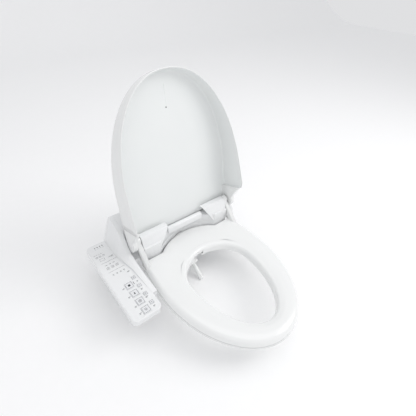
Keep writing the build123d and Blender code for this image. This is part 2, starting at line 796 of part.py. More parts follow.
def sheet_form(inset, gap, z0, z1):
    """Outline of the printed overlay on the arm's upper face."""
    x0 = -ARM_OUT + inset + gap
    x1 = -FAIRING_OUT + 2 - gap
    y0 = FAIRING_FRONT + 4 + gap
    y1 = BODY_REAR - inset - gap
    rear = rounded_plan(x0, x1, y0 - 20, y1, z0, z1, 3 - gap)
    front_x1 = -BODY_HALF - TOWER_T - inset - gap
    front_y0 = ARM_FRONT + inset + gap
    front = rounded_plan(x0, front_x1, front_y0, y0 - 14 - 2 * gap, z0, z1, ARM_CORNER - inset - gap)
    return rear + front


def make_arm_base():
    base = arm_form(0, ARM_BOTTOM, ARM_SPLIT)
    low_edges = [e for e in base.edges().group_by(Axis.Z)[0] if e.center().X < -210]
    base = fillet(low_edges, 2.5)
    base -= arm_form(ARM_WALL, ARM_BOTTOM + ARM_WALL, ARM_SPLIT + 1)
    for x, y in arm_screw_places():
        base += rod_z(x, y, ARM_BOTTOM + ARM_WALL, ARM_SPLIT, 3.4)
        base -= rod_z(x, y, ARM_BOTTOM - 1, ARM_SPLIT + 1, 1.5)
    return base


def arm_screw_places():
    return [(-276, -180), (-212, -226), (-276, -20), (-276, 42)]


# ---- running gear, services and fasteners --------------------------------------------------


def housing_half():
    return NOZZLE_R + NOZZLE_FIT + HOUSING_T


def wand_rear():
    """Distance of the extended wand's rear end behind the exit."""
    return PINION_AT + 2 * TOOTH_PITCH


def pinion_pitch_r():
    return PINION_TEETH * TOOTH_PITCH / (2 * pi)


def pinion_offset():
    """Distance of the pinion's axis from the nozzle's line, along X."""
    return NOZZLE_R + RACK_H - TOOTH_DEPTH / 2 + pinion_pitch_r()


def make_nozzle_housing():
    """Open-ended guide for the wand, with a side slot for the rack and two flap lugs."""
    half = housing_half()
    guide = block(-half, half, 0, HOUSING_LENGTH, -half, half)
    guide -= rod_y(0, -1, HOUSING_LENGTH + 1, 0, NOZZLE_R + NOZZLE_FIT)
    slot = PINION_T / 2 + NOZZLE_FIT
    guide -= block(0, half + 1, -1, HOUSING_LENGTH + 1, -slot, slot)
    lug_x = FLAP_EYE_HALF + NOZZLE_FIT
    lug = block(lug_x, lug_x + LUG_T, 0, 6, slot + NOZZLE_FIT, half)
    lug += block(
        lug_x,
        lug_x + LUG_T,
        -FLAP_AHEAD - FLAP_EYE_R,
        0.5,
        flap_eye_z() - FLAP_EYE_R - 2,
        flap_eye_z() + FLAP_EYE_R,
    )
    for side in both(lug):
        guide += side
    guide -= rod_x(-20, 20, -FLAP_AHEAD, flap_eye_z(), FLAP_PIN_R)
    return on_nozzle(guide)


def make_nozzle_wand():
    """Tube that carries the water, with the rack that drives it along one side."""
    front = -NOZZLE_OUT + NOZZLE_TIP
    wand = rod_y(0, front, wand_rear(), 0, NOZZLE_R)
    rack_front = PINION_AT - NOZZLE_STROKE - 2 * TOOTH_PITCH
    root = NOZZLE_R + RACK_H - TOOTH_H
    wand += block(NOZZLE_R - 2, root, rack_front, wand_rear(), -RACK_W / 2, RACK_W / 2)
    count = int((wand_rear() - rack_front) / TOOTH_PITCH)
    for i in range(count):
        y = PINION_AT + TOOTH_PITCH * (i - count + 2) + TOOTH_PITCH / 2
        if y - TOOTH_W / 2 > rack_front and y + TOOTH_W / 2 < wand_rear():
            tip_x = NOZZLE_R + RACK_H
            wand += block(root - 0.2, tip_x, y - TOOTH_W / 2, y + TOOTH_W / 2, -RACK_W / 2, RACK_W / 2)
    wand -= rod_y(0, front - 1, wand_rear() + 1, 0, NOZZLE_BORE)
    return on_nozzle(wand)


def make_nozzle_tip():
    """Rounded spray head with two groups of jets on its upper side."""
    y0 = -NOZZLE_OUT
    y1 = y0 + NOZZLE_TIP
    tip = fillet(rod_y(0, y0, y1, 0, NOZZLE_R).edges().group_by(Axis.Y)[0], 5)
    tip -= rod_y(0, y0 + 4, y1 + 1, 0, NOZZLE_BORE)
    for dx, dy in ((0, 8), (2, 11), (-2, 11), (0, 16)):
        tip -= rod_z(dx, y0 + dy, 0, NOZZLE_R + 1, SPRAY_R)
    return on_nozzle(tip)


def make_nozzle_pinion():
    """Toothed wheel on the nozzle motor's shaft, in mesh with the rack."""
    root_r = pinion_pitch_r() + TOOTH_DEPTH / 2 - TOOTH_H
    wheel = rod_z(0, 0, -PINION_T / 2, PINION_T / 2, root_r)
    outer_r = pinion_pitch_r() + TOOTH_DEPTH / 2
    for i in range(PINION_TEETH):
        tooth = block(-outer_r, -root_r + 0.4, -TOOTH_W / 2, TOOTH_W / 2, -PINION_T / 2, PINION_T / 2)
        wheel += Rot(0, 0, 360 * i / PINION_TEETH) * tooth
    wheel -= rod_z(0, 0, -PINION_T, PINION_T, SHAFT_R + SHAFT_FIT)
    return on_nozzle(Pos(pinion_offset(), PINION_AT, 0) * wheel)


def make_nozzle_motor():
    """Stepping motor under the pinion, with its shaft and its bracket to the guide."""
    top = -PINION_T / 2 - 1
    motor = rod_z(0, 0, top - MOTOR_LENGTH, top, MOTOR_R)
    motor += rod_z(0, 0, top, PINION_T / 2 + 1, SHAFT_R)
    reach = pinion_offset() - housing_half()
    motor += block(-reach, 0, -MOTOR_R, MOTOR_R, top - MOTOR_LENGTH + 6, top - 1.5)
    return on_nozzle(Pos(pinion_offset(), PINION_AT, 0) * motor)


def flap_eye_z():
    return NOZZLE_R + NOZZLE_FIT + FLAP_EYE_R


def make_nozzle_flap():
    """Shutter over the nozzle's exit: it lies on the wand while the wand is out."""
    eye = rod_x(-FLAP_EYE_HALF, FLAP_EYE_HALF, -FLAP_AHEAD, flap_eye_z(), FLAP_EYE_R)
    z0 = NOZZLE_R + NOZZLE_FIT
    y1 = -FLAP_AHEAD - FLAP_EYE_R - NOZZLE_FIT
    y0 = y1 - FLAP_LENGTH
    plate = rounded_plan(-FLAP_W / 2, FLAP_W / 2, y0, y1, z0, z0 + FLAP_T, 3)
    web = block(-FLAP_EYE_HALF, FLAP_EYE_HALF, y1 - 2, -FLAP_AHEAD, z0, z0 + FLAP_T)
    flap = eye + plate + web
    flap -= rod_x(-20, 20, -FLAP_AHEAD, flap_eye_z(), FLAP_PIN_R + HINGE_FIT)
    return on_nozzle(flap)


def make_flap_pin():
    reach = FLAP_EYE_HALF + NOZZLE_FIT + LUG_T
    return on_nozzle(rod_x(-reach, reach, -FLAP_AHEAD, flap_eye_z(), FLAP_PIN_R))


def make_hinge_pins():
    """Fixed pins that the seat and the lid both turn on."""
    end = LID_HALF - LID_SKIN - PIN_END_GAP
    pin = rod_x(LOBE_OUT - PIN_GRIP, end, HINGE_Y, HINGE_Z, PIN_R)
    return Compound(children=both(pin))


def make_damper(side):
    """Rotary damper in a lobe that slows the lid or the seat as it comes down."""
    x1 = LOBE_OUT - PIN_GRIP - 0.5
    damper = rod_x(x1 - 34, x1, HINGE_Y - 1, HINGE_Z - 1, PIN_R)
    damper += block(x1 - 30, x1 - 24, HINGE_Y - 4, HINGE_Y + 2, HINGE_Z - 22, HINGE_Z)
    return damper if side > 0 else mirror_x(damper)


def make_tank():
    """Warm-water tank, a closed plastic box with an inlet and an outlet stub."""
    z0 = MOUNT_RECESS + WALL
    tank = rounded_plan(TANK_X0, TANK_X1, TANK_Y0, TANK_Y1, z0, TANK_Z1, 8)
    inner = rounded_plan(
        TANK_X0 + TANK_WALL,
        TANK_X1 - TANK_WALL,
        TANK_Y0 + TANK_WALL,
        TANK_Y1 - TANK_WALL,
        z0 + TANK_WALL,
        TANK_Z1 - TANK_WALL,
        6,
    )
    tank -= inner
    for x in (TANK_X0 + 16, TANK_X1 - 16):
        tank += rod_z(x, TANK_Y1 - 14, TANK_Z1, TANK_Z1 + 10, HOSE_R)
        tank -= rod_z(x, TANK_Y1 - 14, TANK_Z1 - 5, TANK_Z1 + 11, HOSE_R - 1.5)
    return tank


def make_tank_heater():
    """Sheathed heating loop that hangs in the tank from its lid."""
    y = (TANK_Y0 + TANK_Y1) / 2
    z1 = TANK_Z1 - TANK_WALL
    loop = rod_z(TANK_X0 + 30, y, 20, z1, 3) + rod_z(TANK_X1 - 30, y, 20, z1, 3)
    return loop + rod_x(TANK_X0 + 27, TANK_X1 - 27, y, 20, 3)


def make_valve():
    """Solenoid valve on the cold-water inlet."""
    z0 = MOUNT_RECESS + WALL
    body = block(VALVE_X - 12, VALVE_X + 12, INLET_Y - 12, INLET_Y + 12, z0, z0 + 16)
    coil = rod_z(VALVE_X, INLET_Y, z0 + 16, z0 + VALVE_LENGTH, 10)
    outlet = rod_x(VALVE_X + 12, VALVE_X + 22, INLET_Y, INLET_Z, HOSE_R)
    body -= rod_x(VALVE_X - 20, VALVE_X - 2, INLET_Y, INLET_Z, INLET_BORE)
    return body + coil + outlet


def inlet_hole():
    """Opening for the inlet pipe through the side wall and the left tower."""
    return rod_x(-BODY_HALF - TOWER_T - 1, -BODY_HALF + WALL + 1, INLET_Y, INLET_Z, INLET_R)


def make_inlet():
    """Brass inlet pipe with a hexagon and a threaded end for the supply hose."""
    x0 = -BODY_HALF - TOWER_T
    pipe = rod_x(x0 - INLET_LENGTH, VALVE_X - 12, INLET_Y, INLET_Z, INLET_R)
    nut = Pos(x0 - 4, INLET_Y, INLET_Z) * Rot(0, 90, 0) * extrude(RegularPolygon(INLET_R + 2.5, 6), 4)
    pipe += nut
    return pipe - rod_x(x0 - INLET_LENGTH - 1, VALVE_X - 11, INLET_Y, INLET_Z, INLET_BORE)


def make_gland():
    """Strain-relief gland where the mains lead enters the right tower."""
    x1 = BODY_HALF + TOWER_T
    gland = rod_x(x1 - GLAND_SEAT, x1, GLAND_Y, GLAND_Z, GLAND_R)
    gland += rod_x(x1, x1 + 4, GLAND_Y, GLAND_Z, GLAND_R + 1.5)
    return gland - rod_x(x1 - GLAND_SEAT + 1, x1 + 5, GLAND_Y, GLAND_Z, 3.6)


def make_main_pcb():
    """Power and control board on edge behind the tank, with its large components."""
    y1 = BODY_REAR - WALL - 1
    board = block(PCB_X0, PCB_X0 + PCB_LENGTH, y1 - PCB_T, y1, SPLIT_Z - 30, SPLIT_Z + 46)
    for dx, z, w, h, d in ((6, 78, 20, 18, 12), (38, 82, 14, 20, 10), (64, 80, 26, 22, 5)):
        x = PCB_X0 + dx
        board += block(x, x + w, y1 - PCB_T - d, y1 - PCB_T, z - h / 2, z + h / 2)
    return board


def make_fan_housing():
    """Scroll of the deodoriser fan, open at the eye and at the outlet."""
    z0 = MOUNT_RECESS + WALL
    can = rod_z(FAN_X, FAN_Y, z0, z0 + FAN_H, FAN_R)
    outlet = block(FAN_X - FAN_R, FAN_X - FAN_R + 18, FAN_Y, FAN_Y + 34, z0, z0 + FAN_H)
    can += outlet
    can -= rod_z(FAN_X, FAN_Y, z0 + FAN_WALL, z0 + FAN_H - FAN_WALL, FAN_R - FAN_WALL)
    can -= block(
        FAN_X - FAN_R + FAN_WALL,
        FAN_X - FAN_R + 18 - FAN_WALL,
        FAN_Y,
        FAN_Y + 35,
        z0 + FAN_WALL,
        z0 + FAN_H - FAN_WALL,
    )
    return can - rod_z(FAN_X, FAN_Y, z0 + FAN_H - FAN_WALL - 1, z0 + FAN_H + 1, FAN_R - 8)


def fan_floor():
    return MOUNT_RECESS + WALL + FAN_WALL


def make_fan_motor():
    """Motor in the fan's floor, with its shaft."""
    z0 = fan_floor()
    return rod_z(FAN_X, FAN_Y, z0, z0 + 6, 9) + rod_z(FAN_X, FAN_Y, z0 + 6, z0 + 18, SHAFT_R)


def make_fan_impeller():
    """Squirrel-cage wheel: a back disc, straight blades and a shroud ring."""
    z0 = fan_floor() + 6 + 1
    z1 = fan_floor() + FAN_H - 2 * FAN_WALL - FAN_GAP
    r = FAN_R - FAN_WALL - FAN_GAP
    wheel = rod_z(FAN_X, FAN_Y, z0, z0 + 1.5, r)
    wheel += rod_z(FAN_X, FAN_Y, z0, z0 + 8, 4)
    ring = rod_z(FAN_X, FAN_Y, z1 - 1.5, z1, r) - rod_z(FAN_X, FAN_Y, z0, z1 + 1, r - 5)
    wheel += ring
    for i in range(FAN_BLADES):
        blade = block(r - 5, r, -0.5, 0.5, z0, z1)
        wheel += Pos(FAN_X, FAN_Y, 0) * Rot(0, 0, 360 * i / FAN_BLADES) * blade
    return wheel - rod_z(FAN_X, FAN_Y, z0 - 1, z0 + 12, SHAFT_R + SHAFT_FIT)


def filter_room():
    """Shaft for the deodoriser filter through the right side wall and tower."""
    x1 = BODY_HALF + TOWER_T + 1
    fit = FILTER_FIT
    y0 = FILTER_Y0 - fit
    y1 = FILTER_Y1 + fit
    return block(BODY_HALF - WALL - 1, x1, y0, y1, FILTER_Z0 - fit, FILTER_Z1 + fit)


def make_filter():
    """Deodoriser filter cassette with slots and a finger grip, pulled out to the right."""
    x1 = BODY_HALF + TOWER_T
    cassette = block(FILTER_IN, x1, FILTER_Y0, FILTER_Y1, FILTER_Z0, FILTER_Z1)
    for i in range(6):
        y = FILTER_Y0 + 4 + 6 * i
        cassette -= block(FILTER_IN + 3, x1 - TOWER_T - 3, y, y + 3, FILTER_Z0 - 1, FILTER_Z1 + 1)
    middle = (FILTER_Z0 + FILTER_Z1) / 2
    grip = block(x1, x1 + FILTER_GRIP, FILTER_Y0 + 8, FILTER_Y1 - 8, middle - 1.5, middle + 1.5)
    return cassette + grip


def release_block(x0, x1, fit):
    reach = RELEASE_HALF + fit
    return block(x0, x1, RELEASE_Y - reach, RELEASE_Y + reach, RELEASE_Z - reach, RELEASE_Z + reach)


def make_release_button():
    """Button on the right tower that frees the seat unit from its mounting plate."""
    x1 = BODY_HALF + TOWER_T
    button = release_block(x1 - RELEASE_DEPTH, x1 + RELEASE_PROUD, 0)
    return fillet(button.edges().group_by(Axis.X)[-1], 1.2)


def make_feed_hose():
    """Hose from the valve up over the housing to the tank's inlet stub."""
    y1 = TANK_Y1 - 14
    z1 = TANK_Z1 + 34
    start = (VALVE_X + 22, INLET_Y, INLET_Z)
    points = [
        start,
        (VALVE_X + 42 - 14, INLET_Y, INLET_Z),
        (VALVE_X + 42 - 14, INLET_Y, z1),
        (TANK_X0 + 16, y1, z1),
        (TANK_X0 + 16, y1, TANK_Z1 + 10),
    ]
    path = FilletPolyline(*points, radius=5.5)
    ring = Plane(origin=start, z_dir=(1, 0, 0)) * Circle(HOSE_R)
    return sweep(ring, path)


def make_cover_screws():
    """Long screws from below that hold the top cover to the base."""
    screws = []
    for x, y in cover_screw_places():
        screw = rod_z(x, y, 1, SPLIT_Z + 14, SCREW_R)
        screw += rod_z(x, y, 0.6, SCREW_HEAD_DEEP, SCREW_HEAD_R)
        screws.append(screw - block(x - 0.4, x + 0.4, y - 2.4, y + 2.4, 0, 1.5))
    return Compound(children=screws)


def make_arm_screws():
    screws = []
    for x, y in arm_screw_places():
        screw = rod_z(x, y, ARM_BOTTOM, ARM_SPLIT + 4, 1.5)
        screw += rod_z(x, y, ARM_BOTTOM - 1.6, ARM_BOTTOM, 3)
        slot = block(x - 0.4, x + 0.4, y - 2.2, y + 2.2, ARM_BOTTOM - 2, ARM_BOTTOM - 0.8)
        screws.append(screw - slot)
    return Compound(children=screws)


def make_panel_sheet():
    """Printed overlay in a shallow recess of the arm's upper face."""
    sheet = sheet_form(SHEET_INSET, 0.1, ARM_TOP - SHEET_T, ARM_TOP)
    for _, x, y, half in button_places():
        reach = half + BUTTON_FIT
        sheet -= block(x - reach, x + reach, y - reach, y + reach, ARM_SPLIT, ARM_TOP + 1)
    for x, y in lamp_places():
        sheet -= rod_z(x, y, ARM_SPLIT, ARM_TOP + 1, LAMP_R)
    return sheet


def pcb_top():
    return ARM_SPLIT + 3.0


def make_control_pcb():
    """Board under the keys with one tact switch below each key."""
    z1 = pcb_top()
    board = block(-ARM_OUT + 8, -BODY_HALF - TOWER_T - 7, ARM_FRONT + 16, 46, z1 - PCB_T, z1)
    for x, y in arm_screw_places():
        board -= rod_z(x, y, 0, 60, 4.5)
    for _, x, y, _ in button_places():
        board += block(x - 3, x + 3, y - 3, y + 3, z1, z1 + 2.5)
    return board


def make_button(x, y, half):
    """Key cap with a retaining flange under the cover."""
    flange_z = ARM_TOP - ARM_WALL - 0.2
    cap = block(x - half, x + half, y - half, y + half, flange_z - 1, ARM_TOP + BUTTON_PROUD)
    cap = fillet(cap.edges().group_by(Axis.Z)[-1], 0.6)
    reach = half + 1.5
    cap += block(x - reach, x + reach, y - reach, y + reach, flange_z - 1.6, flange_z)
    return cap + rod_z(x, y, pcb_top() + 2.5 + BUTTON_TRAVEL + 0.1, flange_z, 2)


def make_lamps():
    lamps = []
    for x, y in lamp_places():
        lamps.append(rod_z(x, y, pcb_top(), ARM_TOP + 0.2, LAMP_R))
    return Compound(children=lamps)


def bolt_places():
    return [-BOLT_SPACING / 2, BOLT_SPACING / 2]


def make_mounting_plate():
    """Plate bolted to the bowl, which the seat unit slides onto."""
    x, y = MOUNT_HALF_X, MOUNT_HALF_Y
    plate = rounded_plan(-x, x, -y, y, 0, MOUNT_T, 6)
    for place in bolt_places():
        plate -= rod_z(place, 0, -1, MOUNT_T + 1, BOLT_R + BOLT_FIT)
        plate -= rod_z(place, 0, MOUNT_T - 2, MOUNT_T + 1, BOLT_HEAD_R + BOLT_FIT)
    return plate


def make_mounting_bolts():
    bolts = []
    for x in bolt_places():
        bolt = rod_z(x, 0, MOUNT_T - 2, MOUNT_T, BOLT_HEAD_R)
        bolt += rod_z(x, 0, MOUNT_T - BOLT_LENGTH, cone_top() + SHANK_GAP, BOLT_R - THREAD_RELIEF)
        bolt += rod_z(x, 0, cone_top() + SHANK_GAP, -SHANK_GAP, BOLT_R)
        neck = MOUNT_T - 2 + SHANK_GAP
        bolt += Pos(x, 0, neck / 2 - SHANK_GAP) * Box(BOLT_R * NECK_SHARE, BOLT_R * NECK_SHARE, neck)
        bolts.append(bolt)
    return Compound(children=bolts)


def cone_top():
    """Upper end of the rubber cones, pushed up into the holes of the bowl's deck."""
    return -RIM_THICK + 6


def make_rubber_cones():
    """Rubber cones that centre the bolts in the holes of the bowl's deck."""
    cones = []
    for x in bolt_places():
        top = cone_top()
        cone = Pos(x, 0, top - CONE_HEIGHT / 2) * Cone(11, 7, CONE_HEIGHT)
        cones.append(cone - rod_z(x, 0, top - CONE_HEIGHT - 1, top + 1, BOLT_R))
    return Compound(children=cones)


def make_wing_nuts():
    nuts = []
    for x in bolt_places():
        top = cone_top() - CONE_HEIGHT
        nut = rod_z(x, 0, top - 10, top, 9)
        nut += block(x - 17, x + 17, -1.5, 1.5, top - 10, top - 1)
        nuts.append(nut - rod_z(x, 0, top - 11, top + 1, BOLT_R))
    return Compound(children=nuts)


def build():
    """Every node of the seat by name, at rest: lid open, seat down, nozzle out."""
    outer = lid_body()
    ring = ring_body()
    cheek = make_lid_cheek(outer)
    ear_out = EAR_IN + EAR_T
    pieces = {
        "lid_shell": lifted(make_lid_shell(outer), LID_OPEN),
        "lid_liner": lifted(make_lid_liner(), LID_OPEN),
        "lid_cheek_right": lifted(cheek, LID_OPEN),
        "lid_cheek_left": lifted(mirror_x(cheek), LID_OPEN),
        "lid_bushes": bushes(CHEEK_IN, LID_HALF - LID_SKIN),
        "seat_top": make_seat_top(ring),
        "seat_base": make_seat_base(ring),
        "seat_heater": make_seat_heater(),
        "seat_pads": make_seat_pads(),
        "seat_screws": make_seat_screws(),
        "seat_bushes": bushes(EAR_IN, ear_out),
        "base_case": make_base_case(),
        "splash_guard": make_splash_guard(),
        "top_cover": make_top_cover(),
        "tower_left": make_tower_left(),
        "tower_right": make_tower_right(),
        "arm_fairing": make_fairing(),
        "arm_cover": make_arm_cover(),
        "arm_base": make_arm_base(),
        "panel_sheet": make_panel_sheet(),
        "control_pcb": make_control_pcb(),
        "indicator_lamps": make_lamps(),
        "arm_screws": make_arm_screws(),
        "cover_screws": make_cover_screws(),
        "hinge_pins": make_hinge_pins(),
        "lid_damper": make_damper(1),
        "seat_damper": make_damper(-1),
        "water_tank": make_tank(),
        "tank_heater": make_tank_heater(),
        "solenoid_valve": make_valve(),
        "water_inlet": make_inlet(),
        "feed_hose": make_feed_hose(),
        "main_pcb": make_main_pcb(),
        "cord_gland": make_gland(),
        "nozzle_housing": make_nozzle_housing(),
        "nozzle_motor": make_nozzle_motor(),
        "nozzle_pinion": make_nozzle_pinion(),
        "nozzle_wand": make_nozzle_wand(),
        "nozzle_tip": make_nozzle_tip(),
        "nozzle_flap": make_nozzle_flap(),
        "flap_pin": make_flap_pin(),
        "fan_housing": make_fan_housing(),
        "fan_motor": make_fan_motor(),
        "fan_impeller": make_fan_impeller(),
        "deodoriser_filter": make_filter(),
        "release_button": make_release_button(),
        "mounting_plate": make_mounting_plate(),
        "mounting_bolts": make_mounting_bolts(),
        "rubber_cones": make_rubber_cones(),
        "wing_nuts": make_wing_nuts(),
    }
    for name, x, y, half in button_places():
        pieces[name] = make_button(x, y, half)
    return pieces


if __name__ == "__main__":
    os.makedirs("parts", exist_ok=True)
    for node, solid in build().items():
        export_step(solid, f"parts/{node}.step")
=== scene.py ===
import json
from math import atan, atan2, cos, hypot, pi, radians, sin

import bmesh
import bpy
from mathutils import Matrix, Vector

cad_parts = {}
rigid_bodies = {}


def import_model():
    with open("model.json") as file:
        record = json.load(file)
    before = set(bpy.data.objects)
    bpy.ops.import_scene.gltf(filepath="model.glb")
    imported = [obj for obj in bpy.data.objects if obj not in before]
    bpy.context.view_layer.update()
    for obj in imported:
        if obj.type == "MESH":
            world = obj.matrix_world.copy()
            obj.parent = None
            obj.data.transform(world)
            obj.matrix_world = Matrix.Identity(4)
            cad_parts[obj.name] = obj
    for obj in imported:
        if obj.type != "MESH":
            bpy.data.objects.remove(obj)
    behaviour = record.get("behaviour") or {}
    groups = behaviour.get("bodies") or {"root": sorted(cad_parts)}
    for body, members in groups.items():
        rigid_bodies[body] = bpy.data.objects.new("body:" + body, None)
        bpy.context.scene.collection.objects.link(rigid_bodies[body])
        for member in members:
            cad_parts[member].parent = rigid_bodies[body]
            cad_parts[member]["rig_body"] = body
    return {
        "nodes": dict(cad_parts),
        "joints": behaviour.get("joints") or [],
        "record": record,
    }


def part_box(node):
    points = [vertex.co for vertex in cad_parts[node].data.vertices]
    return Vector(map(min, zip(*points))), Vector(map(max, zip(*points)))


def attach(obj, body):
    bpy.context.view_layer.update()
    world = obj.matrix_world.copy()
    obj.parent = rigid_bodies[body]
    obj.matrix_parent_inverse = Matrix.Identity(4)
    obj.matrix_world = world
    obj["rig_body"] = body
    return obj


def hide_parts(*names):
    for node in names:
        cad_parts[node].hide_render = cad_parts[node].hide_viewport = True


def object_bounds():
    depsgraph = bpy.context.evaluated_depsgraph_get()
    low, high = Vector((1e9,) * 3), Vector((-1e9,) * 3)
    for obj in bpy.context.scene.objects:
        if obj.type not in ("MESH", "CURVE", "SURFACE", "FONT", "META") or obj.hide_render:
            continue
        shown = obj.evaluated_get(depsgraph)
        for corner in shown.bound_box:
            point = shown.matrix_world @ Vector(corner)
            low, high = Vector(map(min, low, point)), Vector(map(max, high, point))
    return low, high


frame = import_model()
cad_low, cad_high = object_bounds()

# ---- camera and studio ---------------------------------------------------------------------
# A standing person's view down onto the raised lid and the ring, from the control arm's side.
# The seat stands on a pale seamless sweep under a large soft key light from the right.

VIEW_AZIMUTH = -41.05
VIEW_ELEVATION = 36.64
VIEW_ROLL = 3.83
VIEW_PLACE = Vector((-0.4404, -0.6204, 0.7460))
VIEW_FOCAL = 0.7408         # focal length in sensor widths
VIEW_SHIFT = (0.0192, -0.0433)
SENSOR = 36.0


def aim(azimuth, elevation, roll):
    """Rotation of a camera that stands at an azimuth and elevation and looks back down that line."""
    turn, rise = radians(azimuth), radians(elevation)
    back = Vector((sin(turn) * cos(rise), -cos(turn) * cos(rise), sin(rise)))
    return (-back).to_track_quat("-Z", "Y").to_matrix() @ Matrix.Rotation(radians(roll), 3, "Z")


camera_data = bpy.data.cameras.new("studio_camera")
camera_data.sensor_width = SENSOR
camera_data.lens = VIEW_FOCAL * SENSOR
camera_data.shift_x, camera_data.shift_y = VIEW_SHIFT
camera = bpy.data.objects.new("studio_camera", camera_data)
camera.matrix_world = Matrix.Translation(VIEW_PLACE) @ aim(
    VIEW_AZIMUTH, VIEW_ELEVATION, VIEW_ROLL
).to_4x4()
bpy.context.scene.collection.objects.link(camera)
bpy.context.scene.camera = camera
bpy.context.scene.view_settings.view_transform = "Standard"


def area_light(name, place, target, size, power, colour):
    """Square soft box that faces its target."""
    data = bpy.data.lights.new(name, "AREA")
    data.size = size
    data.energy = power
    data.color = colour
    light = bpy.data.objects.new(name, data)
    facing = (Vector(target) - Vector(place)).to_track_quat("-Z", "Y").to_matrix().to_4x4()
    light.matrix_world = Matrix.Translation(Vector(place)) @ facing
    bpy.context.scene.collection.objects.link(light)


STUDIO_CENTRE = (0.0, -0.2, 0.15)
KEY_POWER = 16
TOP_POWER = 9
FILL_POWER = 2.5
AIR_STRENGTH = 0.76
area_light("key_box", (1.5, -1.3, 1.9), STUDIO_CENTRE, 1.3, KEY_POWER, (1.0, 0.99, 0.98))
area_light("top_box", (0.2, -0.4, 2.4), STUDIO_CENTRE, 1.8, TOP_POWER, (1.0, 0.99, 1.0))
area_light("fill_box", (-1.7, -1.6, 1.1), STUDIO_CENTRE, 1.5, FILL_POWER, (1.0, 0.99, 0.97))

world = bpy.data.worlds.new("studio_air")
world.use_nodes = True
world.node_tree.nodes["Background"].inputs["Color"].default_value = (0.98, 0.985, 1.0, 1)
world.node_tree.nodes["Background"].inputs["Strength"].default_value = AIR_STRENGTH
bpy.context.scene.world = world


class Value:
    """A socket that takes part in Python arithmetic by adding Math nodes."""

    def __init__(self, shader, socket):
        self.shader = shader
        self.socket = socket

    def math(self, operation, *others):
        return self.shader.node("ShaderNodeMath", {"operation": operation}, (self, *others))

    def __add__(self, other):
        return self.math("ADD", other)

    def __radd__(self, other):
        return self.math("ADD", other)

    def __sub__(self, other):
        return self.math("SUBTRACT", other)

    def __rsub__(self, other):
        return self.shader.node("ShaderNodeMath", {"operation": "SUBTRACT"}, (other, self))

    def __mul__(self, other):
        return self.math("MULTIPLY", other)

    def __rmul__(self, other):
        return self.math("MULTIPLY", other)

    def clamped(self, low, high):
        return self.math("MAXIMUM", low).math("MINIMUM", high)


class Shader:
    """A material under construction, with one method that makes any node."""

    def __init__(self, name):
        self.material = bpy.data.materials.new(name)
        self.material.use_nodes = True
        self.tree = self.material.node_tree
        self.surface = self.tree.nodes["Principled BSDF"]

    def node(self, kind, settings=None, inputs=(), output=0):
        made = self.tree.nodes.new(kind)
        for key, value in (settings or {}).items():
            setattr(made, key, value)
        pairs = inputs.items() if isinstance(inputs, dict) else enumerate(inputs)
        for key, value in pairs:
            self.join(made.inputs[key], value)
        return Value(self, made.outputs[output])

    def join(self, socket, value):
        if isinstance(value, Value):
            self.tree.links.new(value.socket, socket)
        else:
            socket.default_value = value

    def place(self):
        return self.node("ShaderNodeTexCoord", output="Object")

    def noise(self, scale, detail=3.0, at=None):
        where = at or self.place()
        sizes = {"Vector": where, "Scale": scale, "Detail": detail}
        return self.node("ShaderNodeTexNoise", None, sizes, "Fac")

    def tinted(self, amount, first, second):
        return self.mixed(amount, (*first, 1), (*second, 1))

    def mixed(self, amount, first, second):
        sockets = {6: first, 7: second, 0: amount}
        return self.node("ShaderNodeMix", {"data_type": "RGBA"}, sockets, 2)

    def bump(self, height, depth):
        sockets = {"Height": height, "Distance": depth, "Strength": 1.0}
        return self.node("ShaderNodeBump", None, sockets, "Normal")

    def finish(self, **sockets):
        for key, value in sockets.items():
            self.join(self.surface.inputs[key.replace("_", " ")], value)
        return self.material


def shaded(colour, amount):
    return tuple(channel * amount for channel in colour)


floor_shader = Shader("studio_paper")
paper = floor_shader.noise(40.0)
floor_paper = floor_shader.finish(
    Base_Color=floor_shader.tinted(paper, (0.955, 0.957, 0.96), (0.975, 0.976, 0.978)),
    Roughness=0.9 + 0.05 * paper,
)


def shade(mesh, smooth=True):
    for polygon in mesh.polygons:
        polygon.use_smooth = smooth


def mesh_object(name, vertices, faces, material):
    """New mesh at the origin with one material and smooth faces."""
    mesh = bpy.data.meshes.new(name)
    mesh.from_pydata([tuple(v) for v in vertices], [], faces)
    mesh.materials.append(material)
    shade(mesh)
    made = bpy.data.objects.new(name, mesh)
    bpy.context.scene.collection.objects.link(made)
    return made


def sweep_rows():
    """Floor that curves up into a wall behind the seat."""
    far, bend, wall = 2.6, 1.0, 3.4
    floor_z = cad_low.z - 0.0005
    line = [(-4.0, floor_z), (far, floor_z)]
    for i in range(1, 13):
        turn = pi / 2 * i / 12
        line.append((far + bend * sin(turn), floor_z + bend * (1 - cos(turn))))
    line.append((far + bend, floor_z + wall))
    return [[Vector((side * 6.0, y, z)) for side in (-1, 1)] for y, z in line]


def loft(name, rows, material, around=False, closed=False):
    """Quads between rows of equal length. around joins a row's ends, closed joins last to first."""
    count = len(rows[0])
    vertices = [point for row in rows for point in row]
    faces = []
    row_pairs = [(i, i + 1) for i in range(len(rows) - 1)]
    if closed:
        row_pairs.append((len(rows) - 1, 0))
    column_pairs = [(j, j + 1) for j in range(count - 1)]
    if around:
        column_pairs.append((count - 1, 0))
    for a, b in row_pairs:
        for c, d in column_pairs:
            faces.append((a * count + c, a * count + d, b * count + d, b * count + c))
    return mesh_object(name, vertices, faces, material)


backdrop = loft("studio_sweep", sweep_rows(), floor_paper)

# ---- finishes ------------------------------------------------------------------------------
# Glossy white ABS and polypropylene with a faint peel from the mould and slow cloudiness in
# the gloss, and the rubber, metals, hose braid and board laminate of the smaller pieces.

MM = 0.001                  # metres in a millimetre


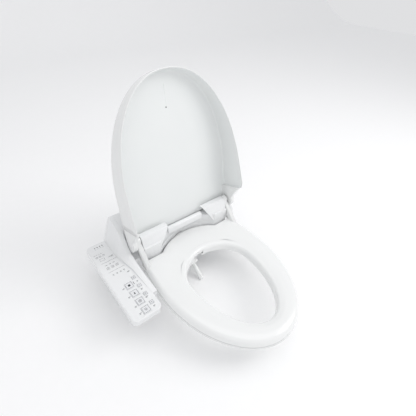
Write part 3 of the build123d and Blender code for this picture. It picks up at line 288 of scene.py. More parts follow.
def moulded(name, colour, roughness, peel=0.02, coat=0.0, speckle=0.0):
    """Moulded plastic with uneven gloss, a soft peel and optional filler specks."""
    shader = Shader(name)
    cloud = shader.noise(9.0, 2.0)
    grain = shader.noise(420.0, 2.0)
    fine = shader.noise(2600.0, 1.0)
    tone = (0.75 * cloud + 0.25 * grain).clamped(0.0, 1.0)
    warm = (colour[0], colour[1] * 0.995, colour[2] * 0.985)
    base = shader.tinted(tone, shaded(colour, 0.97), warm)
    if speckle:
        dots = (shader.noise(1500.0, 1.0) - 0.62).math("GREATER_THAN", 0.0)
        base = shader.mixed(dots * speckle, base, (0.55, 0.55, 0.55, 1))
    shader.surface.inputs["Coat Weight"].default_value = coat
    shader.surface.inputs["Coat Roughness"].default_value = 0.06
    shader.surface.inputs["IOR"].default_value = 1.5
    return shader.finish(
        Base_Color=base,
        Roughness=(roughness - 0.03) + 0.06 * cloud + 0.03 * fine,
        Normal=shader.bump(grain + 0.3 * fine, peel * MM),
    )


lid_white = moulded("lid_gloss_white", (0.86, 0.87, 0.87), 0.24, 0.012)
liner_white = moulded("liner_satin_white", (0.83, 0.85, 0.85), 0.34, 0.02)
seat_white = moulded("seat_gloss_white", (0.87, 0.88, 0.88), 0.16, 0.01, 0.3)
body_white = moulded("body_gloss_white", (0.86, 0.87, 0.88), 0.22, 0.015)
key_grey = moulded("key_satin_grey", (0.80, 0.81, 0.83), 0.38, 0.03)
nozzle_white = moulded("nozzle_gloss_white", (0.89, 0.90, 0.90), 0.15, 0.008, 0.3)
nozzle_grey = moulded("slide_satin_grey", (0.72, 0.73, 0.75), 0.36, 0.03)
acetal = moulded("acetal_natural", (0.80, 0.80, 0.76), 0.32, 0.02)
tank_plastic = moulded("tank_filled_white", (0.74, 0.73, 0.69), 0.5, 0.04, 0.0, 0.25)
dark_plastic = moulded("nylon_black_and_painted_hole_shade", (0.045, 0.046, 0.05), 0.48, 0.05, 0.0, 0.12)
overlay_film = moulded("overlay_film", (0.85, 0.86, 0.87), 0.30, 0.03)
lamp_acrylic = moulded("lamp_smoked_acrylic", (0.07, 0.08, 0.075), 0.12, 0.004, 0.6)
pad_rubber = moulded("pad_grey_rubber", (0.46, 0.47, 0.48), 0.62, 0.06)
print_ink = moulded("print_ink", (0.055, 0.06, 0.065), 0.5, 0.01)


def metal(name, colour, roughness, stretch, tarnish=0.0):
    """Bare metal with drawn or brushed lines, uneven brightness and optional brown tarnish."""
    shader = Shader(name)
    drawn = {"Vector": shader.place(), "Scale": stretch}
    lines = shader.noise(260.0, 3.0, shader.node("ShaderNodeMapping", None, drawn))
    cloud = shader.noise(34.0, 3.0)
    base = shader.tinted(cloud, shaded(colour, 0.84), colour)
    if tarnish:
        dull = (shader.noise(90.0, 4.0) - 0.52).math("MULTIPLY", 4.0).clamped(0.0, tarnish)
        base = shader.mixed(dull, base, (0.30, 0.24, 0.16, 1))
    shader.surface.inputs["Metallic"].default_value = 1.0
    return shader.finish(
        Base_Color=base,
        Roughness=(roughness - 0.05) + 0.12 * lines + 0.05 * cloud,
        Normal=shader.bump(lines, 0.006 * MM),
    )


def braid():
    """Dark hose cover woven from two crossing sets of yarns."""
    shader = Shader("hose_braid")
    sockets = {"Vector": shader.place(), "Scale": 190.0, "Distortion": 0.4}
    one = shader.node("ShaderNodeTexWave", {"bands_direction": "DIAGONAL"}, sockets, "Fac")
    two = shader.node("ShaderNodeTexWave", {"bands_direction": "Z"}, sockets, "Fac")
    weave = one.math("MAXIMUM", two)
    return shader.finish(
        Base_Color=shader.tinted(weave, (0.03, 0.03, 0.033), (0.12, 0.12, 0.125)),
        Roughness=0.7 - 0.15 * weave,
        Normal=shader.bump(weave, 0.25 * MM),
    )


def laminate():
    """Green board with paler copper tracks under the mask and small tinned pads."""
    shader = Shader("board_laminate")
    cell = {"Vector": shader.place(), "Scale": 260.0}
    pads = shader.node("ShaderNodeTexVoronoi", None, cell, "Distance")
    tracks = shader.noise(120.0, 0.0)
    line = (tracks - 0.5).math("ABSOLUTE").math("LESS_THAN", 0.035)
    pad = pads.math("LESS_THAN", 0.16)
    green = shader.tinted(line, (0.015, 0.11, 0.05), (0.05, 0.22, 0.10))
    return shader.finish(
        Base_Color=shader.mixed(pad, green, (0.62, 0.62, 0.58, 1)),
        Roughness=0.42 - 0.14 * pad,
        Normal=shader.bump(line + pad, 0.04 * MM),
    )


screw_steel = metal("screw_zinc_steel", (0.62, 0.62, 0.61), 0.34, (1.0, 1.0, 12.0))
pin_steel = metal("pin_stainless", (0.66, 0.66, 0.66), 0.22, (14.0, 1.0, 1.0))
motor_steel = metal("motor_plated_can", (0.40, 0.41, 0.42), 0.32, (1.0, 14.0, 1.0))
inlet_brass = metal("inlet_turned_brass", (0.76, 0.60, 0.30), 0.24, (18.0, 1.0, 1.0), 0.25)
heater_foil = metal("heater_foil", (0.80, 0.80, 0.81), 0.28, (1.0, 1.0, 1.0))
hose_braid = braid()
board_green = laminate()

SLOT_LOOKS = {
    "lid_white": lid_white,
    "liner_white": liner_white,
    "seat_white": seat_white,
    "body_white": body_white,
    "overlay": overlay_film,
    "key_grey": key_grey,
    "lamp": lamp_acrylic,
    "acetal": acetal,
    "pad_rubber": pad_rubber,
    "hose_rubber": hose_braid,
    "heater_film": heater_foil,
    "screw_steel": screw_steel,
    "pin_steel": pin_steel,
    "motor_steel": motor_steel,
    "inlet_brass": inlet_brass,
    "circuit_board": board_green,
    "tank_plastic": tank_plastic,
    "dark_plastic": dark_plastic,
    "nozzle_grey": nozzle_grey,
    "nozzle_white": nozzle_white,
}

# ---- lid -----------------------------------------------------------------------------------
# A deep dished lid of two glossy white mouldings that meet at the rim: the outer shell with
# its skirt, and a smooth inner liner that rolls up into the skirt and has one shallow slot.

joints = {joint["name"]: joint for joint in frame["joints"]}
hinge = Vector(joints["lid_hinge"]["pos_m"])
LID_OPEN = radians(-joints["lid_hinge"]["range_deg"][0])
LID_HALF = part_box("lid_shell")[1].x
LID_LENGTH = 434 * MM
LID_STRAIGHT = 132 * MM
LID_POWER = 2.15
LID_REAR = hinge.y + 8 * MM
LID_RIM = 18 * MM
LID_FLOOR_REAR = 114 * MM
LID_FLOOR_FRONT = 49 * MM
LID_THICK = 8 * MM
LID_SKIN = 1.28 * MM
CROWN_HEIGHT = 1.5 * MM      # doming of the outer plate
CROWN_RUN = 60 * MM          # width over which the doming sets in
RIM_BEND = hinge.y - 66 * MM  # where the rim starts to rise towards the cheek
RIM_BEND_RUN = 22 * MM
RIM_BEND_RISE = 9 * MM
CENTRE_GAP = 0.01 * MM       # lofted rows and turned profiles stop this far from their middle
MERGE_NEAR = 0.02 * MM       # points nearer than this are one point
TINY_EDGE = 0.01 * MM
CHEEK_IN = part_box("lid_cheek_right")[0].x
CHEEK_SEAM = hinge.y - 44 * MM
LID_SLOPE = (LID_FLOOR_REAR - LID_FLOOR_FRONT) / LID_LENGTH


def opened(point):
    """Turn a point of the closed lid about the hinge line to the open lid."""
    y, z = point.y - hinge.y, point.z - hinge.z
    return Vector((
        point.x,
        hinge.y + y * cos(LID_OPEN) + z * sin(LID_OPEN),
        hinge.z - y * sin(LID_OPEN) + z * cos(LID_OPEN),
    ))


def lid_line(inset):
    """Plan line of the lid moved in by inset, from the right rear round the front to the left."""
    half = LID_HALF - inset
    start_y = hinge.y - LID_STRAIGHT
    depth = LID_LENGTH - LID_STRAIGHT - inset
    stations = [LID_REAR, LID_REAR - 25 * MM, CHEEK_SEAM, CHEEK_SEAM - 18 * MM, CHEEK_SEAM - 50 * MM]
    right = [(half, y) for y in stations]
    for i in range(33):
        turn = pi / 2 * i / 32
        side = half * cos(turn) ** (2 / LID_POWER) if i < 32 else 0.0
        right.append((side, start_y - depth * sin(turn) ** (2 / LID_POWER)))
    return right + [(-x, y) for x, y in reversed(right[:-1])]


def rim_z(y):
    """Height of the skirt's lower edge, which rises in a soft bend towards the cheek."""
    rise = max(0.0, y - RIM_BEND) / RIM_BEND_RUN
    return LID_RIM + RIM_BEND_RISE * rise * rise


def plate_z(y):
    return LID_FLOOR_REAR + (y - hinge.y) * LID_SLOPE


def lid_row(inset, height):
    """One open row of lid points at an inset. height(x, y) gives z on the closed lid."""
    return [opened(Vector((x, y, height(x, y)))) for x, y in lid_line(inset)]


def tidy_mesh(made, thickness=0.0, drop=None, offset=-1):
    """Merge doubles, drop unwanted faces, face outwards and optionally give a wall inwards."""
    work = bmesh.new()
    work.from_mesh(made.data)
    bmesh.ops.remove_doubles(work, verts=work.verts, dist=MERGE_NEAR)
    if drop:
        gone = [f for f in work.faces if drop(f.calc_center_median())]
        bmesh.ops.delete(work, geom=gone, context="FACES")
    bmesh.ops.dissolve_degenerate(work, edges=work.edges, dist=TINY_EDGE)
    if thickness:
        work.to_mesh(made.data)
        work.free()
        solid = made.modifiers.new("wall", "SOLIDIFY")
        solid.thickness = thickness
        solid.offset = offset
        solid.use_even_offset = True
        bake(made)
        work = bmesh.new()
        work.from_mesh(made.data)
    bmesh.ops.recalc_face_normals(work, faces=work.faces)
    work.to_mesh(made.data)
    work.free()
    return made


def bake(made):
    """Apply every modifier, so that the mesh is final."""
    graph = bpy.context.evaluated_depsgraph_get()
    graph.update()
    final = bpy.data.meshes.new_from_object(made.evaluated_get(graph))
    made.modifiers.clear()
    made.data = final
    return made


def crown(x):
    """Slight doming of the lid's outer plate."""
    return CROWN_HEIGHT * (1 - (x / LID_HALF) ** 2)


EDGE_R = 9 * MM
shell_rows = [
    lid_row(1.6 * MM, lambda x, y: rim_z(y)),
    lid_row(0.5 * MM, lambda x, y: rim_z(y) + 0.4 * MM),
    lid_row(0.0, lambda x, y: rim_z(y) + 1.6 * MM),
]
for step in (0.35, 0.7, 1.0):
    shell_rows.append(lid_row(
        0.0, lambda x, y: rim_z(y) + (plate_z(y) + LID_THICK - EDGE_R - rim_z(y)) * step
    ))
for i in range(1, 7):
    turn = pi / 2 * i / 6
    shell_rows.append(lid_row(
        EDGE_R * (1 - cos(turn)),
        lambda x, y: plate_z(y) + LID_THICK - EDGE_R * (1 - sin(turn)),
    ))
CHEEK_DEPTH = LID_HALF - CHEEK_IN
for inset in (CHEEK_DEPTH, 20 * MM, 50 * MM, 90 * MM, 140 * MM, LID_HALF - CENTRE_GAP):
    shell_rows.append(lid_row(
        inset,
        lambda x, y: plate_z(y) + LID_THICK
        + crown(x) * min(1.0, (inset - EDGE_R) / CROWN_RUN),
    ))


def closed_place(point):
    """Turn a point of the open lid back to the closed lid."""
    y, z = point.y - hinge.y, point.z - hinge.z
    return Vector((
        point.x,
        hinge.y + y * cos(LID_OPEN) - z * sin(LID_OPEN),
        hinge.z + y * sin(LID_OPEN) + z * cos(LID_OPEN),
    ))


def in_cheek(point):
    """True for a place that the separate hinge cheeks take up."""
    return abs(point.x) > CHEEK_IN and closed_place(point).y > CHEEK_SEAM


lid_outer = loft("lid_outer_shell", shell_rows, lid_white)
tidy_mesh(lid_outer, LID_SKIN, in_cheek)
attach(lid_outer, "lid")
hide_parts("lid_shell")

ROLL_IN = 7 * MM
LINER_INSET = 2.1 * MM
liner_rows = [
    lid_row(1.7 * MM, lambda x, y: rim_z(y) + 0.1 * MM),
    lid_row(1.9 * MM, lambda x, y: rim_z(y) + 0.7 * MM),
    lid_row(LINER_INSET, lambda x, y: rim_z(y) + 1.5 * MM),
]
for step in (0.4, 0.8, 1.0):
    liner_rows.append(lid_row(
        LINER_INSET,
        lambda x, y: rim_z(y) + (plate_z(y) - ROLL_IN - rim_z(y)) * step,
    ))
for i in range(1, 9):
    turn = pi / 2 * i / 8
    liner_rows.append(lid_row(
        LINER_INSET + ROLL_IN * (1 - cos(turn)),
        lambda x, y: plate_z(y) - ROLL_IN * (1 - sin(turn)),
    ))
for inset in (30 * MM, 60 * MM, 100 * MM, 150 * MM, LID_HALF - CENTRE_GAP):
    liner_rows.append(lid_row(inset, lambda x, y: plate_z(y)))

lid_inner = loft("lid_inner_liner", liner_rows, liner_white)
tidy_mesh(lid_inner, LID_SKIN, in_cheek, 0)


def revolve(name, profile, material, segments=32):
    """Round piece about the Z axis through the origin, from (radius, z) points of a closed line."""
    rows = []
    for i in range(segments):
        turn = 2 * pi * i / segments
        rows.append([Vector((r * cos(turn), r * sin(turn), z)) for r, z in profile])
    made = loft(name, rows + rows[:1], material, around=False, closed=True)
    return tidy_mesh(made)


def cut_with(made, tool):
    """Take a tool's volume out of a piece, then remove the tool."""
    cutter = made.modifiers.new("cut", "BOOLEAN")
    cutter.operation = "DIFFERENCE"
    cutter.solver = "EXACT"
    cutter.object = tool
    bake(made)
    bpy.data.objects.remove(tool)
    return made


def sharpened(made, angle=35):
    """Smooth shading that keeps edges sharper than an angle."""
    made.data.set_sharp_from_angle(angle=radians(angle))
    return made


def rounded_box(name, low, high, radius, material, segments=4):
    """Box with every edge rounded by a bevel."""
    work = bmesh.new()
    bmesh.ops.create_cube(work, size=1.0)
    for vertex in work.verts:
        for axis in range(3):
            middle = (low[axis] + high[axis]) / 2
            vertex.co[axis] = middle + vertex.co[axis] * (high[axis] - low[axis])
    bmesh.ops.bevel(
        work, geom=list(work.edges), offset=radius, segments=segments, profile=0.5, affect="EDGES"
    )
    mesh = bpy.data.meshes.new(name)
    work.to_mesh(mesh)
    work.free()
    mesh.materials.append(material)
    shade(mesh)
    made = bpy.data.objects.new(name, mesh)
    bpy.context.scene.collection.objects.link(made)
    return made


def softened(node, name, radius, material, angle=30, segments=3):
    """Copy of a casing with its loose triangles merged and its hard edges rounded."""
    made = bpy.data.objects.new(name, frame["nodes"][node].data.copy())
    bpy.context.scene.collection.objects.link(made)
    made.data.materials.clear()
    made.data.materials.append(material)
    work = bmesh.new()
    work.from_mesh(made.data)
    bmesh.ops.remove_doubles(work, verts=work.verts, dist=TINY_EDGE)
    bmesh.ops.dissolve_limit(
        work, angle_limit=radians(1.0), verts=work.verts, edges=work.edges, delimit={"NORMAL"}
    )
    work.to_mesh(made.data)
    work.free()
    shade(made.data)
    bevel = made.modifiers.new("round", "BEVEL")
    bevel.width = radius
    bevel.segments = segments
    bevel.limit_method = "ANGLE"
    bevel.angle_limit = radians(angle)
    bevel.use_clamp_overlap = True
    bevel.harden_normals = True
    bake(made)
    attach(made, frame["nodes"][node]["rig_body"])
    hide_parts(node)
    return made


SLOT_LENGTH = 62 * MM
SLOT_INSET = 34 * MM
SLOT_HALF = 1.9 * MM
slot_near = LID_LENGTH - SLOT_INSET - SLOT_LENGTH
slot_middle = hinge.y - slot_near - SLOT_LENGTH / 2
SLOT_SHORT = 0.1 * MM        # the slot's floor stops this far short of the liner's mid-thickness


def onto_plate(made, y, lift):
    """Stand a piece made about the origin on the open lid's liner, facing out of the lid."""
    tilt = Matrix.Rotation(atan(LID_SLOPE), 4, "X")
    place = Matrix.Translation(Vector((0, y, plate_z(y) + lift)))
    made.data.transform(place @ tilt)
    for vertex in made.data.vertices:
        vertex.co = opened(vertex.co)
    return made


slot_tool = rounded_box(
    "slot_tool",
    (-SLOT_HALF, -SLOT_LENGTH / 2, -3 * MM),
    (SLOT_HALF, SLOT_LENGTH / 2, 0),
    0.9 * MM,
    liner_white,
)
cut_with(lid_inner, onto_plate(slot_tool, slot_middle, -SLOT_SHORT))
sharpened(lid_inner, 40)
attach(lid_inner, "lid")
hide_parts("lid_liner")

# The dark disc at the slot's near end is painted shade. It stands in for the shadow inside a small
# hole and uses the black nylon finish.
DOT_R = 2.0 * MM
DOT_FACE = -0.9 * MM
DOT_SHOULDER = -0.5 * MM
DOT_BACK = 0.2 * MM
DOT_PROFILE = [
    (CENTRE_GAP, DOT_FACE),
    (DOT_R * 0.8, DOT_FACE),
    (DOT_R, DOT_SHOULDER),
    (DOT_R, DOT_BACK),
    (CENTRE_GAP, DOT_BACK),
]
slot_hole_shade_disc = onto_plate(
    revolve("slot_hole_painted_shade", DOT_PROFILE, dark_plastic), hinge.y - slot_near - 1.0 * MM, 0
)
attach(slot_hole_shade_disc, "lid")

for side in ("left", "right"):
    cheek = softened(f"lid_cheek_{side}", f"hinge_cheek_{side}", 2.2 * MM, lid_white)

# ---- seat ring -----------------------------------------------------------------------------
# The ring is a wide hollow moulding in glossy antibacterial polypropylene with a soft crown.
# Its upper shell is screwed to a flat base; two ears at the back carry it to the hinge pins.

SEAT_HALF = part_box("seat_base")[1].x
SEAT_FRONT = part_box("seat_base")[0].y
SEAT_CENTRE = -212 * MM
SEAT_REAR_HALF = 170 * MM
SEAT_TOP = 42 * MM
SEAT_SPLIT = 18 * MM
LOBE_Y = -79 * MM
LOBE_X = 105 * MM
RECESS_Y = -41 * MM
HOLE_HALF = 105 * MM
HOLE_FRONT = -421 * MM
HOLE_REAR = -143 * MM
HOLE_WIDE = -235 * MM


def arc_through(first, middle, last, count):
    """Points of the circular arc through three plan points, without the last one."""
    (ax, ay), (bx, by), (cx, cy) = first, middle, last
    d = 2 * (ax * (by - cy) + bx * (cy - ay) + cx * (ay - by))
    a2, b2, c2 = ax * ax + ay * ay, bx * bx + by * by, cx * cx + cy * cy
    ux = (a2 * (by - cy) + b2 * (cy - ay) + c2 * (ay - by)) / d
    uy = (a2 * (cx - bx) + b2 * (ax - cx) + c2 * (bx - ax)) / d
    radius = hypot(ax - ux, ay - uy)
    start, end = atan2(ay - uy, ax - ux), atan2(cy - uy, cx - ux)
    via = atan2(by - uy, bx - ux)
    if (via - start) % (2 * pi) > (end - start) % (2 * pi):
        sweep = -((start - end) % (2 * pi))
    else:
        sweep = (end - start) % (2 * pi)
    turns = [start + sweep * i / count for i in range(count)]
    return [(ux + radius * cos(t), uy + radius * sin(t)) for t in turns]


def eased(points, passes):
    """Round the corners of a closed line by repeated corner cutting."""
    for _ in range(passes):
        cut = []
        for (ax, ay), (bx, by) in zip(points, points[1:] + points[:1]):
            cut.append((0.75 * ax + 0.25 * bx, 0.75 * ay + 0.25 * by))
            cut.append((0.25 * ax + 0.75 * bx, 0.25 * ay + 0.75 * by))
        points = cut
    return points


def even_points(points, count):
    """Points evenly spaced along a closed line, starting at the front and running to the right."""
    start = min(range(len(points)), key=lambda i: points[i][1])
    points = points[start:] + points[:start]
    if points[3][0] < points[0][0]:
        points = [points[0]] + points[:0:-1]
    loop = points + points[:1]
    lengths = [0.0]
    for (ax, ay), (bx, by) in zip(loop, loop[1:]):
        lengths.append(lengths[-1] + hypot(bx - ax, by - ay))
    found, k = [], 0
    for i in range(count):
        want = lengths[-1] * i / count
        while lengths[k + 1] < want:
            k += 1
        share = (want - lengths[k]) / max(lengths[k + 1] - lengths[k], 1e-9)
        (ax, ay), (bx, by) = loop[k], loop[k + 1]
        found.append((ax + (bx - ax) * share, ay + (by - ay) * share))
    return found


SEAT_TAPER = 0.26            # share of the ring's narrowing reached halfway to the lobes


def seat_line(count):
    """Outer plan of the ring, with the corners beside the front lobes rounded."""
    middle = SEAT_HALF - (SEAT_HALF - SEAT_REAR_HALF) * SEAT_TAPER
    middle_y = (SEAT_CENTRE + LOBE_Y) / 2
    depth = SEAT_CENTRE - SEAT_FRONT
    front = [
        (-SEAT_HALF * cos(pi * i / 72), SEAT_CENTRE - depth * sin(pi * i / 72)) for i in range(72)
    ]
    right = arc_through((SEAT_HALF, SEAT_CENTRE), (middle, middle_y), (SEAT_REAR_HALF, LOBE_Y), 16)
    step = [(SEAT_REAR_HALF, LOBE_Y)]
    step += [(SEAT_REAR_HALF + (LOBE_X - SEAT_REAR_HALF) * i / 6, LOBE_Y) for i in range(1, 6)]
    bulge = arc_through((LOBE_X, LOBE_Y), (0, RECESS_Y), (-LOBE_X, LOBE_Y), 30)
    back = [(-x, y) for x, y in reversed(step)]
    left = arc_through((-SEAT_REAR_HALF, LOBE_Y), (-middle, middle_y), (-SEAT_HALF, SEAT_CENTRE), 16)
    line = front + right + step + bulge + [(-LOBE_X, LOBE_Y)] + back + left
    return even_points(eased(line, 2), count)


def hole_line(outer):
    """Plan of the opening, one point for each outer point, by its direction from the middle."""
    found = []
    for x, y in outer:
        turn = atan2(y - HOLE_WIDE, x)
        reach = HOLE_WIDE - HOLE_FRONT if turn < 0 else HOLE_REAR - HOLE_WIDE
        stretch = atan2(sin(turn) / reach, cos(turn) / HOLE_HALF)
        found.append((HOLE_HALF * cos(stretch), HOLE_WIDE + reach * sin(stretch)))
    return found


RING_COLUMNS = 264
ring_outer = seat_line(RING_COLUMNS)
ring_inner = hole_line(ring_outer)
NOZZLE_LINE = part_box("nozzle_wand")
RELIEF_HALF = 17 * MM        # cut-away over the nozzle, in the ring's rear underside
RELIEF_DEPTH = 12 * MM
RELIEF_BAND = 6 * MM
RELIEF_TOP = 32 * MM
RACK_SHIFT = 1.5 * MM        # the rack on one side puts the box's middle this far off the tube
relief_x = (NOZZLE_LINE[0].x + NOZZLE_LINE[1].x) / 2 - RACK_SHIFT
RING_DISH = 4 * MM           # how far the inner edge lies below the crown


def ring_profile():
    """(share across the ring, offset from the inner edge or outer edge in metres, height)."""
    inner_r, outer_r = 11 * MM, 15 * MM
    inner_drop, outer_drop = 13 * MM, 17 * MM
    rows = [(0, 0.0, SEAT_SPLIT), (0, 0.0, SEAT_TOP - RING_DISH - inner_drop)]
    for i in range(1, 7):
        turn = pi / 2 * i / 6
        z = SEAT_TOP - RING_DISH - inner_drop * (1 - sin(turn))
        rows.append((0, inner_r * (1 - cos(turn)), z))
    for share in (0.28, 0.42, 0.56, 0.68):
        rise = RING_DISH * sin(pi / 2 * min(1.0, share / 0.62))
        rows.append((share, None, SEAT_TOP - RING_DISH + rise))
    for i in range(0, 8):
        turn = pi / 2 * i / 7
        z = SEAT_TOP - 0.8 * MM - outer_drop * (1 - cos(turn))
        rows.append((1, outer_r * (1 - sin(turn)), z))
    rows.append((1, 0.6 * MM, SEAT_SPLIT + 0.8 * MM))
    rows.append((1, 1.4 * MM, SEAT_SPLIT + 0.1 * MM))
    return rows


def ring_point(inner, outer, share, offset, z):
    """Point of the ring between its two plan lines, lifted where the nozzle passes under it."""
    across = hypot(outer[0] - inner[0], outer[1] - inner[1])
    if offset is not None:
        share = offset / across if share == 0 else 1 - offset / across
    x = inner[0] + (outer[0] - inner[0]) * share
    y = inner[1] + (outer[1] - inner[1]) * share
    over_nozzle = abs(x - relief_x) < RELIEF_HALF and y > HOLE_REAR - RELIEF_DEPTH
    if over_nozzle and z < SEAT_SPLIT + RELIEF_BAND:
        z = RELIEF_TOP
    return Vector((x, y, z))


ring_rows = []
for share, offset, z in ring_profile():
    ring_rows.append([ring_point(i, o, share, offset, z) for i, o in zip(ring_inner, ring_outer)])
seat_ring = loft("seat_ring_top", ring_rows, seat_white, around=True, closed=True)
tidy_mesh(seat_ring)


def joined(base, *others):
    """Join more meshes of the same body and finish into one piece."""
    work = bmesh.new()
    for made in (base, *others):
        work.from_mesh(made.data)
    work.to_mesh(base.data)
    work.free()
    for made in others:
        bpy.data.objects.remove(made)
    return base


EAR_IN = 160 * MM
EAR_OUT = 174 * MM
EAR_R = 12 * MM
EAR_EASE = 2.5 * MM          # rounding of the ear's sides
EAR_FOOT = 32 * MM           # how far the ear reaches forward into the ring


def ear(side):
    """Arm from the ring's rear corner up to the hinge pin, with a round eye."""
    foot = LOBE_Y - 3 * MM
    line = [(foot, SEAT_SPLIT + 4 * MM), (foot - EAR_FOOT, SEAT_SPLIT + 4 * MM)]
    line += [(foot - EAR_FOOT, SEAT_TOP - 4 * MM), (hinge.y - EAR_R, hinge.z - 4 * MM)]
    for i in range(13):
        turn = pi - pi * 1.25 * i / 12
        line.append((hinge.y + EAR_R * cos(turn), hinge.z + EAR_R * sin(turn)))
    line.append((foot, SEAT_TOP - 6 * MM))
    inner, outer = sorted((side * EAR_IN, side * EAR_OUT))
    middle_y = sum(y for y, _ in line) / len(line)
    middle_z = sum(z for _, z in line) / len(line)
    soft = EAR_EASE * 0.3
    stations = [(inner, EAR_EASE), (inner + soft, soft), (inner + EAR_EASE, 0)]
    stations += [(outer - EAR_EASE, 0), (outer - soft, soft), (outer, EAR_EASE)]
    rows = []
    for x, shrink in stations:
        row = []
        for y, z in line:
            away = Vector((0, y - middle_y, z - middle_z))
            row.append(Vector((x, y, z)) - away.normalized() * shrink)
        rows.append(row)
    made = loft("seat_ear", rows, seat_white, around=True)
    work = bmesh.new()
    work.from_mesh(made.data)
    bmesh.ops.holes_fill(work, edges=work.edges, sides=0)
    bmesh.ops.recalc_face_normals(work, faces=work.faces)
    work.to_mesh(made.data)
    work.free()
    return made


joined(seat_ring, ear(-1), ear(1))
shade(seat_ring.data)
sharpened(seat_ring, 48)
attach(seat_ring, "seat")
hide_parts("seat_top")

# ---- rear casing ---------------------------------------------------------------------------
# Base, top cover with its two front lobes and roll, side towers, arm fairing, arm and curved
# splash guard: glossy white mouldings. Screws from below close the casing and the arm.

SHELLS = {
    "top_cover": ("rear_top_cover", 4.5 * MM),
    "base_case": ("rear_base_case", 1.0 * MM),
    "tower_left": ("side_tower_left", 2.5 * MM),
    "tower_right": ("side_tower_right", 1.6 * MM),
    "arm_fairing": ("arm_ramp", 2.0 * MM),
    "splash_guard": ("bowl_splash_guard", 0.8 * MM),
    "arm_cover": ("arm_upper_case", 1.6 * MM),
    "arm_base": ("arm_lower_case", 0.5 * MM),
}
for node, (name, radius) in SHELLS.items():
    shell = softened(node, name, radius, body_white)

# ---- panel prints and key symbols -----------------------------------------------------------
# Dark ink on the film over the arm: thin rules, small marks and plain symbols, each a slightly
# raised layer. The symbols on the keys ride on their keys.

INK = 0.12 * MM
INK_SINK = 0.05 * MM
GAP = 0.14                  # space between printed bars that would otherwise touch, in mm


def prism(outline, low, high):
    """Vertices and faces of an upright prism over a convex plan outline."""
    count = len(outline)
    vertices = [(x, y, low) for x, y in outline] + [(x, y, high) for x, y in outline]
    faces = [tuple(range(count))[::-1], tuple(range(count, 2 * count))]
    faces += [(i, (i + 1) % count, count + (i + 1) % count, count + i) for i in range(count)]
    return vertices, faces


def hoop(x, y, radius, thick, low, high, count=28):
    """Vertices and faces of a flat ring."""
    vertices, faces = [], []
    for i in range(count):
        turn = 2 * pi * i / count
        for r, z in ((radius, low), (radius, high), (radius - thick, high), (radius - thick, low)):
            vertices.append((x + r * cos(turn), y + r * sin(turn), z))
    for i in range(count):
        a, b = 4 * i, 4 * ((i + 1) % count)
        faces += [(a + k, b + k, b + (k + 1) % 4, a + (k + 1) % 4) for k in range(4)]
    return vertices, faces


def bar(x, y, wide, deep):
    """Outline of an upright bar with cut corners."""
    c = min(wide, deep) * 0.22
    w, d = wide / 2, deep / 2
    corners = [(w - c, -d), (w, -d + c), (w, d - c), (w - c, d)]
    corners += [(-w + c, d), (-w, d - c), (-w, -d + c), (-w + c, -d)]
    return [(x + px, y + py) for px, py in corners]


def window(x, y, wide, deep, line):
    """Four bars that make a rectangular outline."""
    w, d = (wide - line) / 2, (deep - line) / 2
    return [
        bar(x, y - d, wide, line),
        bar(x, y + d, wide, line),
        bar(x - w, y, line, deep - 2 * line - GAP),
        bar(x + w, y, line, deep - 2 * line - GAP),
    ]


def drop_line(x, y, size):
    """Outline of a water drop with its point to the rear."""
    line = []
    for i in range(24):
        turn = 2 * pi * i / 24
        pinch = sin(turn / 2) ** 1.5
        line.append((x + size * 0.62 * sin(turn) * pinch, y + size * cos(turn)))
    return line


def printed(name, outlines, hoops, top, body):
    """One inked piece made of prisms and rings that lie on a surface."""
    vertices, faces = [], []
    shapes = [prism([(px * MM, py * MM) for px, py in line], top - INK_SINK, top + INK)
              for line in outlines]
    shapes += [hoop(x * MM, y * MM, r * MM, t * MM, top - INK_SINK, top + INK)
               for x, y, r, t in hoops]
    for points, sides in shapes:
        shift = len(vertices)
        vertices += points
        faces += [tuple(i + shift for i in side) for side in sides]
    made = mesh_object(name, vertices, faces, print_ink)
    shade(made.data, smooth=False)
    tidy_mesh(made)
    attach(made, body)
    return made


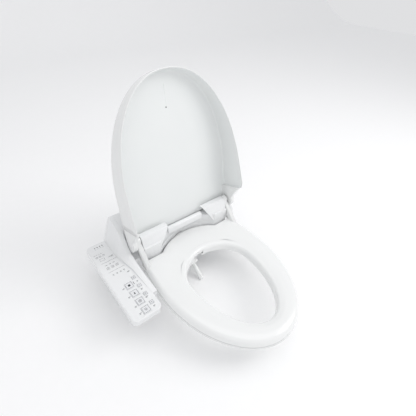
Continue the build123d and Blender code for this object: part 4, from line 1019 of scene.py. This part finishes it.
SHEET_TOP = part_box("panel_sheet")[1].z
RULES = [(-265, 12, 28), (-248, -27, 46), (-244.5, -66, 47)]
KEY_NOTES = [(-222, -91, 7), (-218, -133, 5), (-221, -162, 6), (-223, -190, 8), (-221, -223, 6)]
marks, rings = [], []
for x, y, wide in RULES:
    marks.append(bar(x, y, wide, 0.5))
for y in (-135, -166, -199, -222):
    marks.append(bar(-259.5, y, 6.5, 1.0))
    marks.append(bar(-260.5, y - 2.6, 4.2, 0.8))
for x, y, wide in KEY_NOTES:
    marks.append(bar(x, y, wide, 1.1))
    marks.append(bar(x - 0.8, y - 2.4, wide * 0.7, 0.8))
marks.append(bar(-229, -134, 1.4, 9.0))
for i in range(4):
    marks.append(bar(-262 + 7.6 * i, 33.5, 3.6, 0.8))
for x in (-272, -262, -252):
    marks += window(x, 2, 6.0, 6.0, 0.5)
    marks.append(bar(x, 2, 2.2, 0.9))
marks += window(-262, -12, 14, 9, 0.45)
for i in range(5):
    marks.append(bar(-243.5 + 3.1 * i, -13, 1.0, 2.0 + 1.3 * i))
for i in range(3):
    marks.append(bar(-262 + 11 * i, -38, 6.5, 1.1))
    marks += window(-262 + 13 * i, -51, 8.0, 8.0, 0.45)
    rings.append((-262 + 13 * i, -51, 2.2, 0.6))
for i in range(4):
    marks.append(bar(-260 + 10.5 * i, -78, 5.0, 1.0))
    marks.append(bar(-260 + 10.5 * i, -81, 3.4, 0.8))
printed("panel_prints", marks, rings, SHEET_TOP, "main_unit")

KEY_COUNT = 4
for number in range(1, KEY_COUNT + 1):
    for kind, edge, line in (("button", 18.2, 0.55), ("small_button", 8.8, 0.4)):
        node = f"{kind}_{number}"
        low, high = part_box(node)
        x, y = (low.x + high.x) / 2 / MM, (low.y + high.y) / 2 / MM
        outlines, hoops = window(x, y, edge, edge, line), []
        if kind == "small_button":
            outlines.append(bar(x, y, 4.0, 0.8))
            if number % 2:
                outlines.append(bar(x, y, 0.8, 4.0))
        elif number == 1:
            outlines.append(bar(x, y, 6.5, 6.5))
        elif number == 2:
            outlines.append(drop_line(x, y, 4.2))
        elif number == 3:
            hoops = [(x, y, 4.2, 0.8), (x, y, 1.9, 0.7)]
        else:
            outlines += [bar(x, y + step, 8.0 - abs(step), 0.9) for step in (-2.8, 0, 2.8)]
        printed(f"symbol_{node}", outlines, hoops, high.z, f"key_{node}")

# ---- everything else keeps its CAD shape ----------------------------------------------------
# Keys, film, lamps, the nozzle and its drive, the mounting set and the parts inside the casing
# take the finish that the record gives them.

slot_of = {part["node"]: part["material_slot"] for part in frame["record"]["subparts"]}
for name, node in frame["nodes"].items():
    if not node.hide_render:
        node.data.materials.clear()
        node.data.materials.append(SLOT_LOOKS[slot_of[name]])
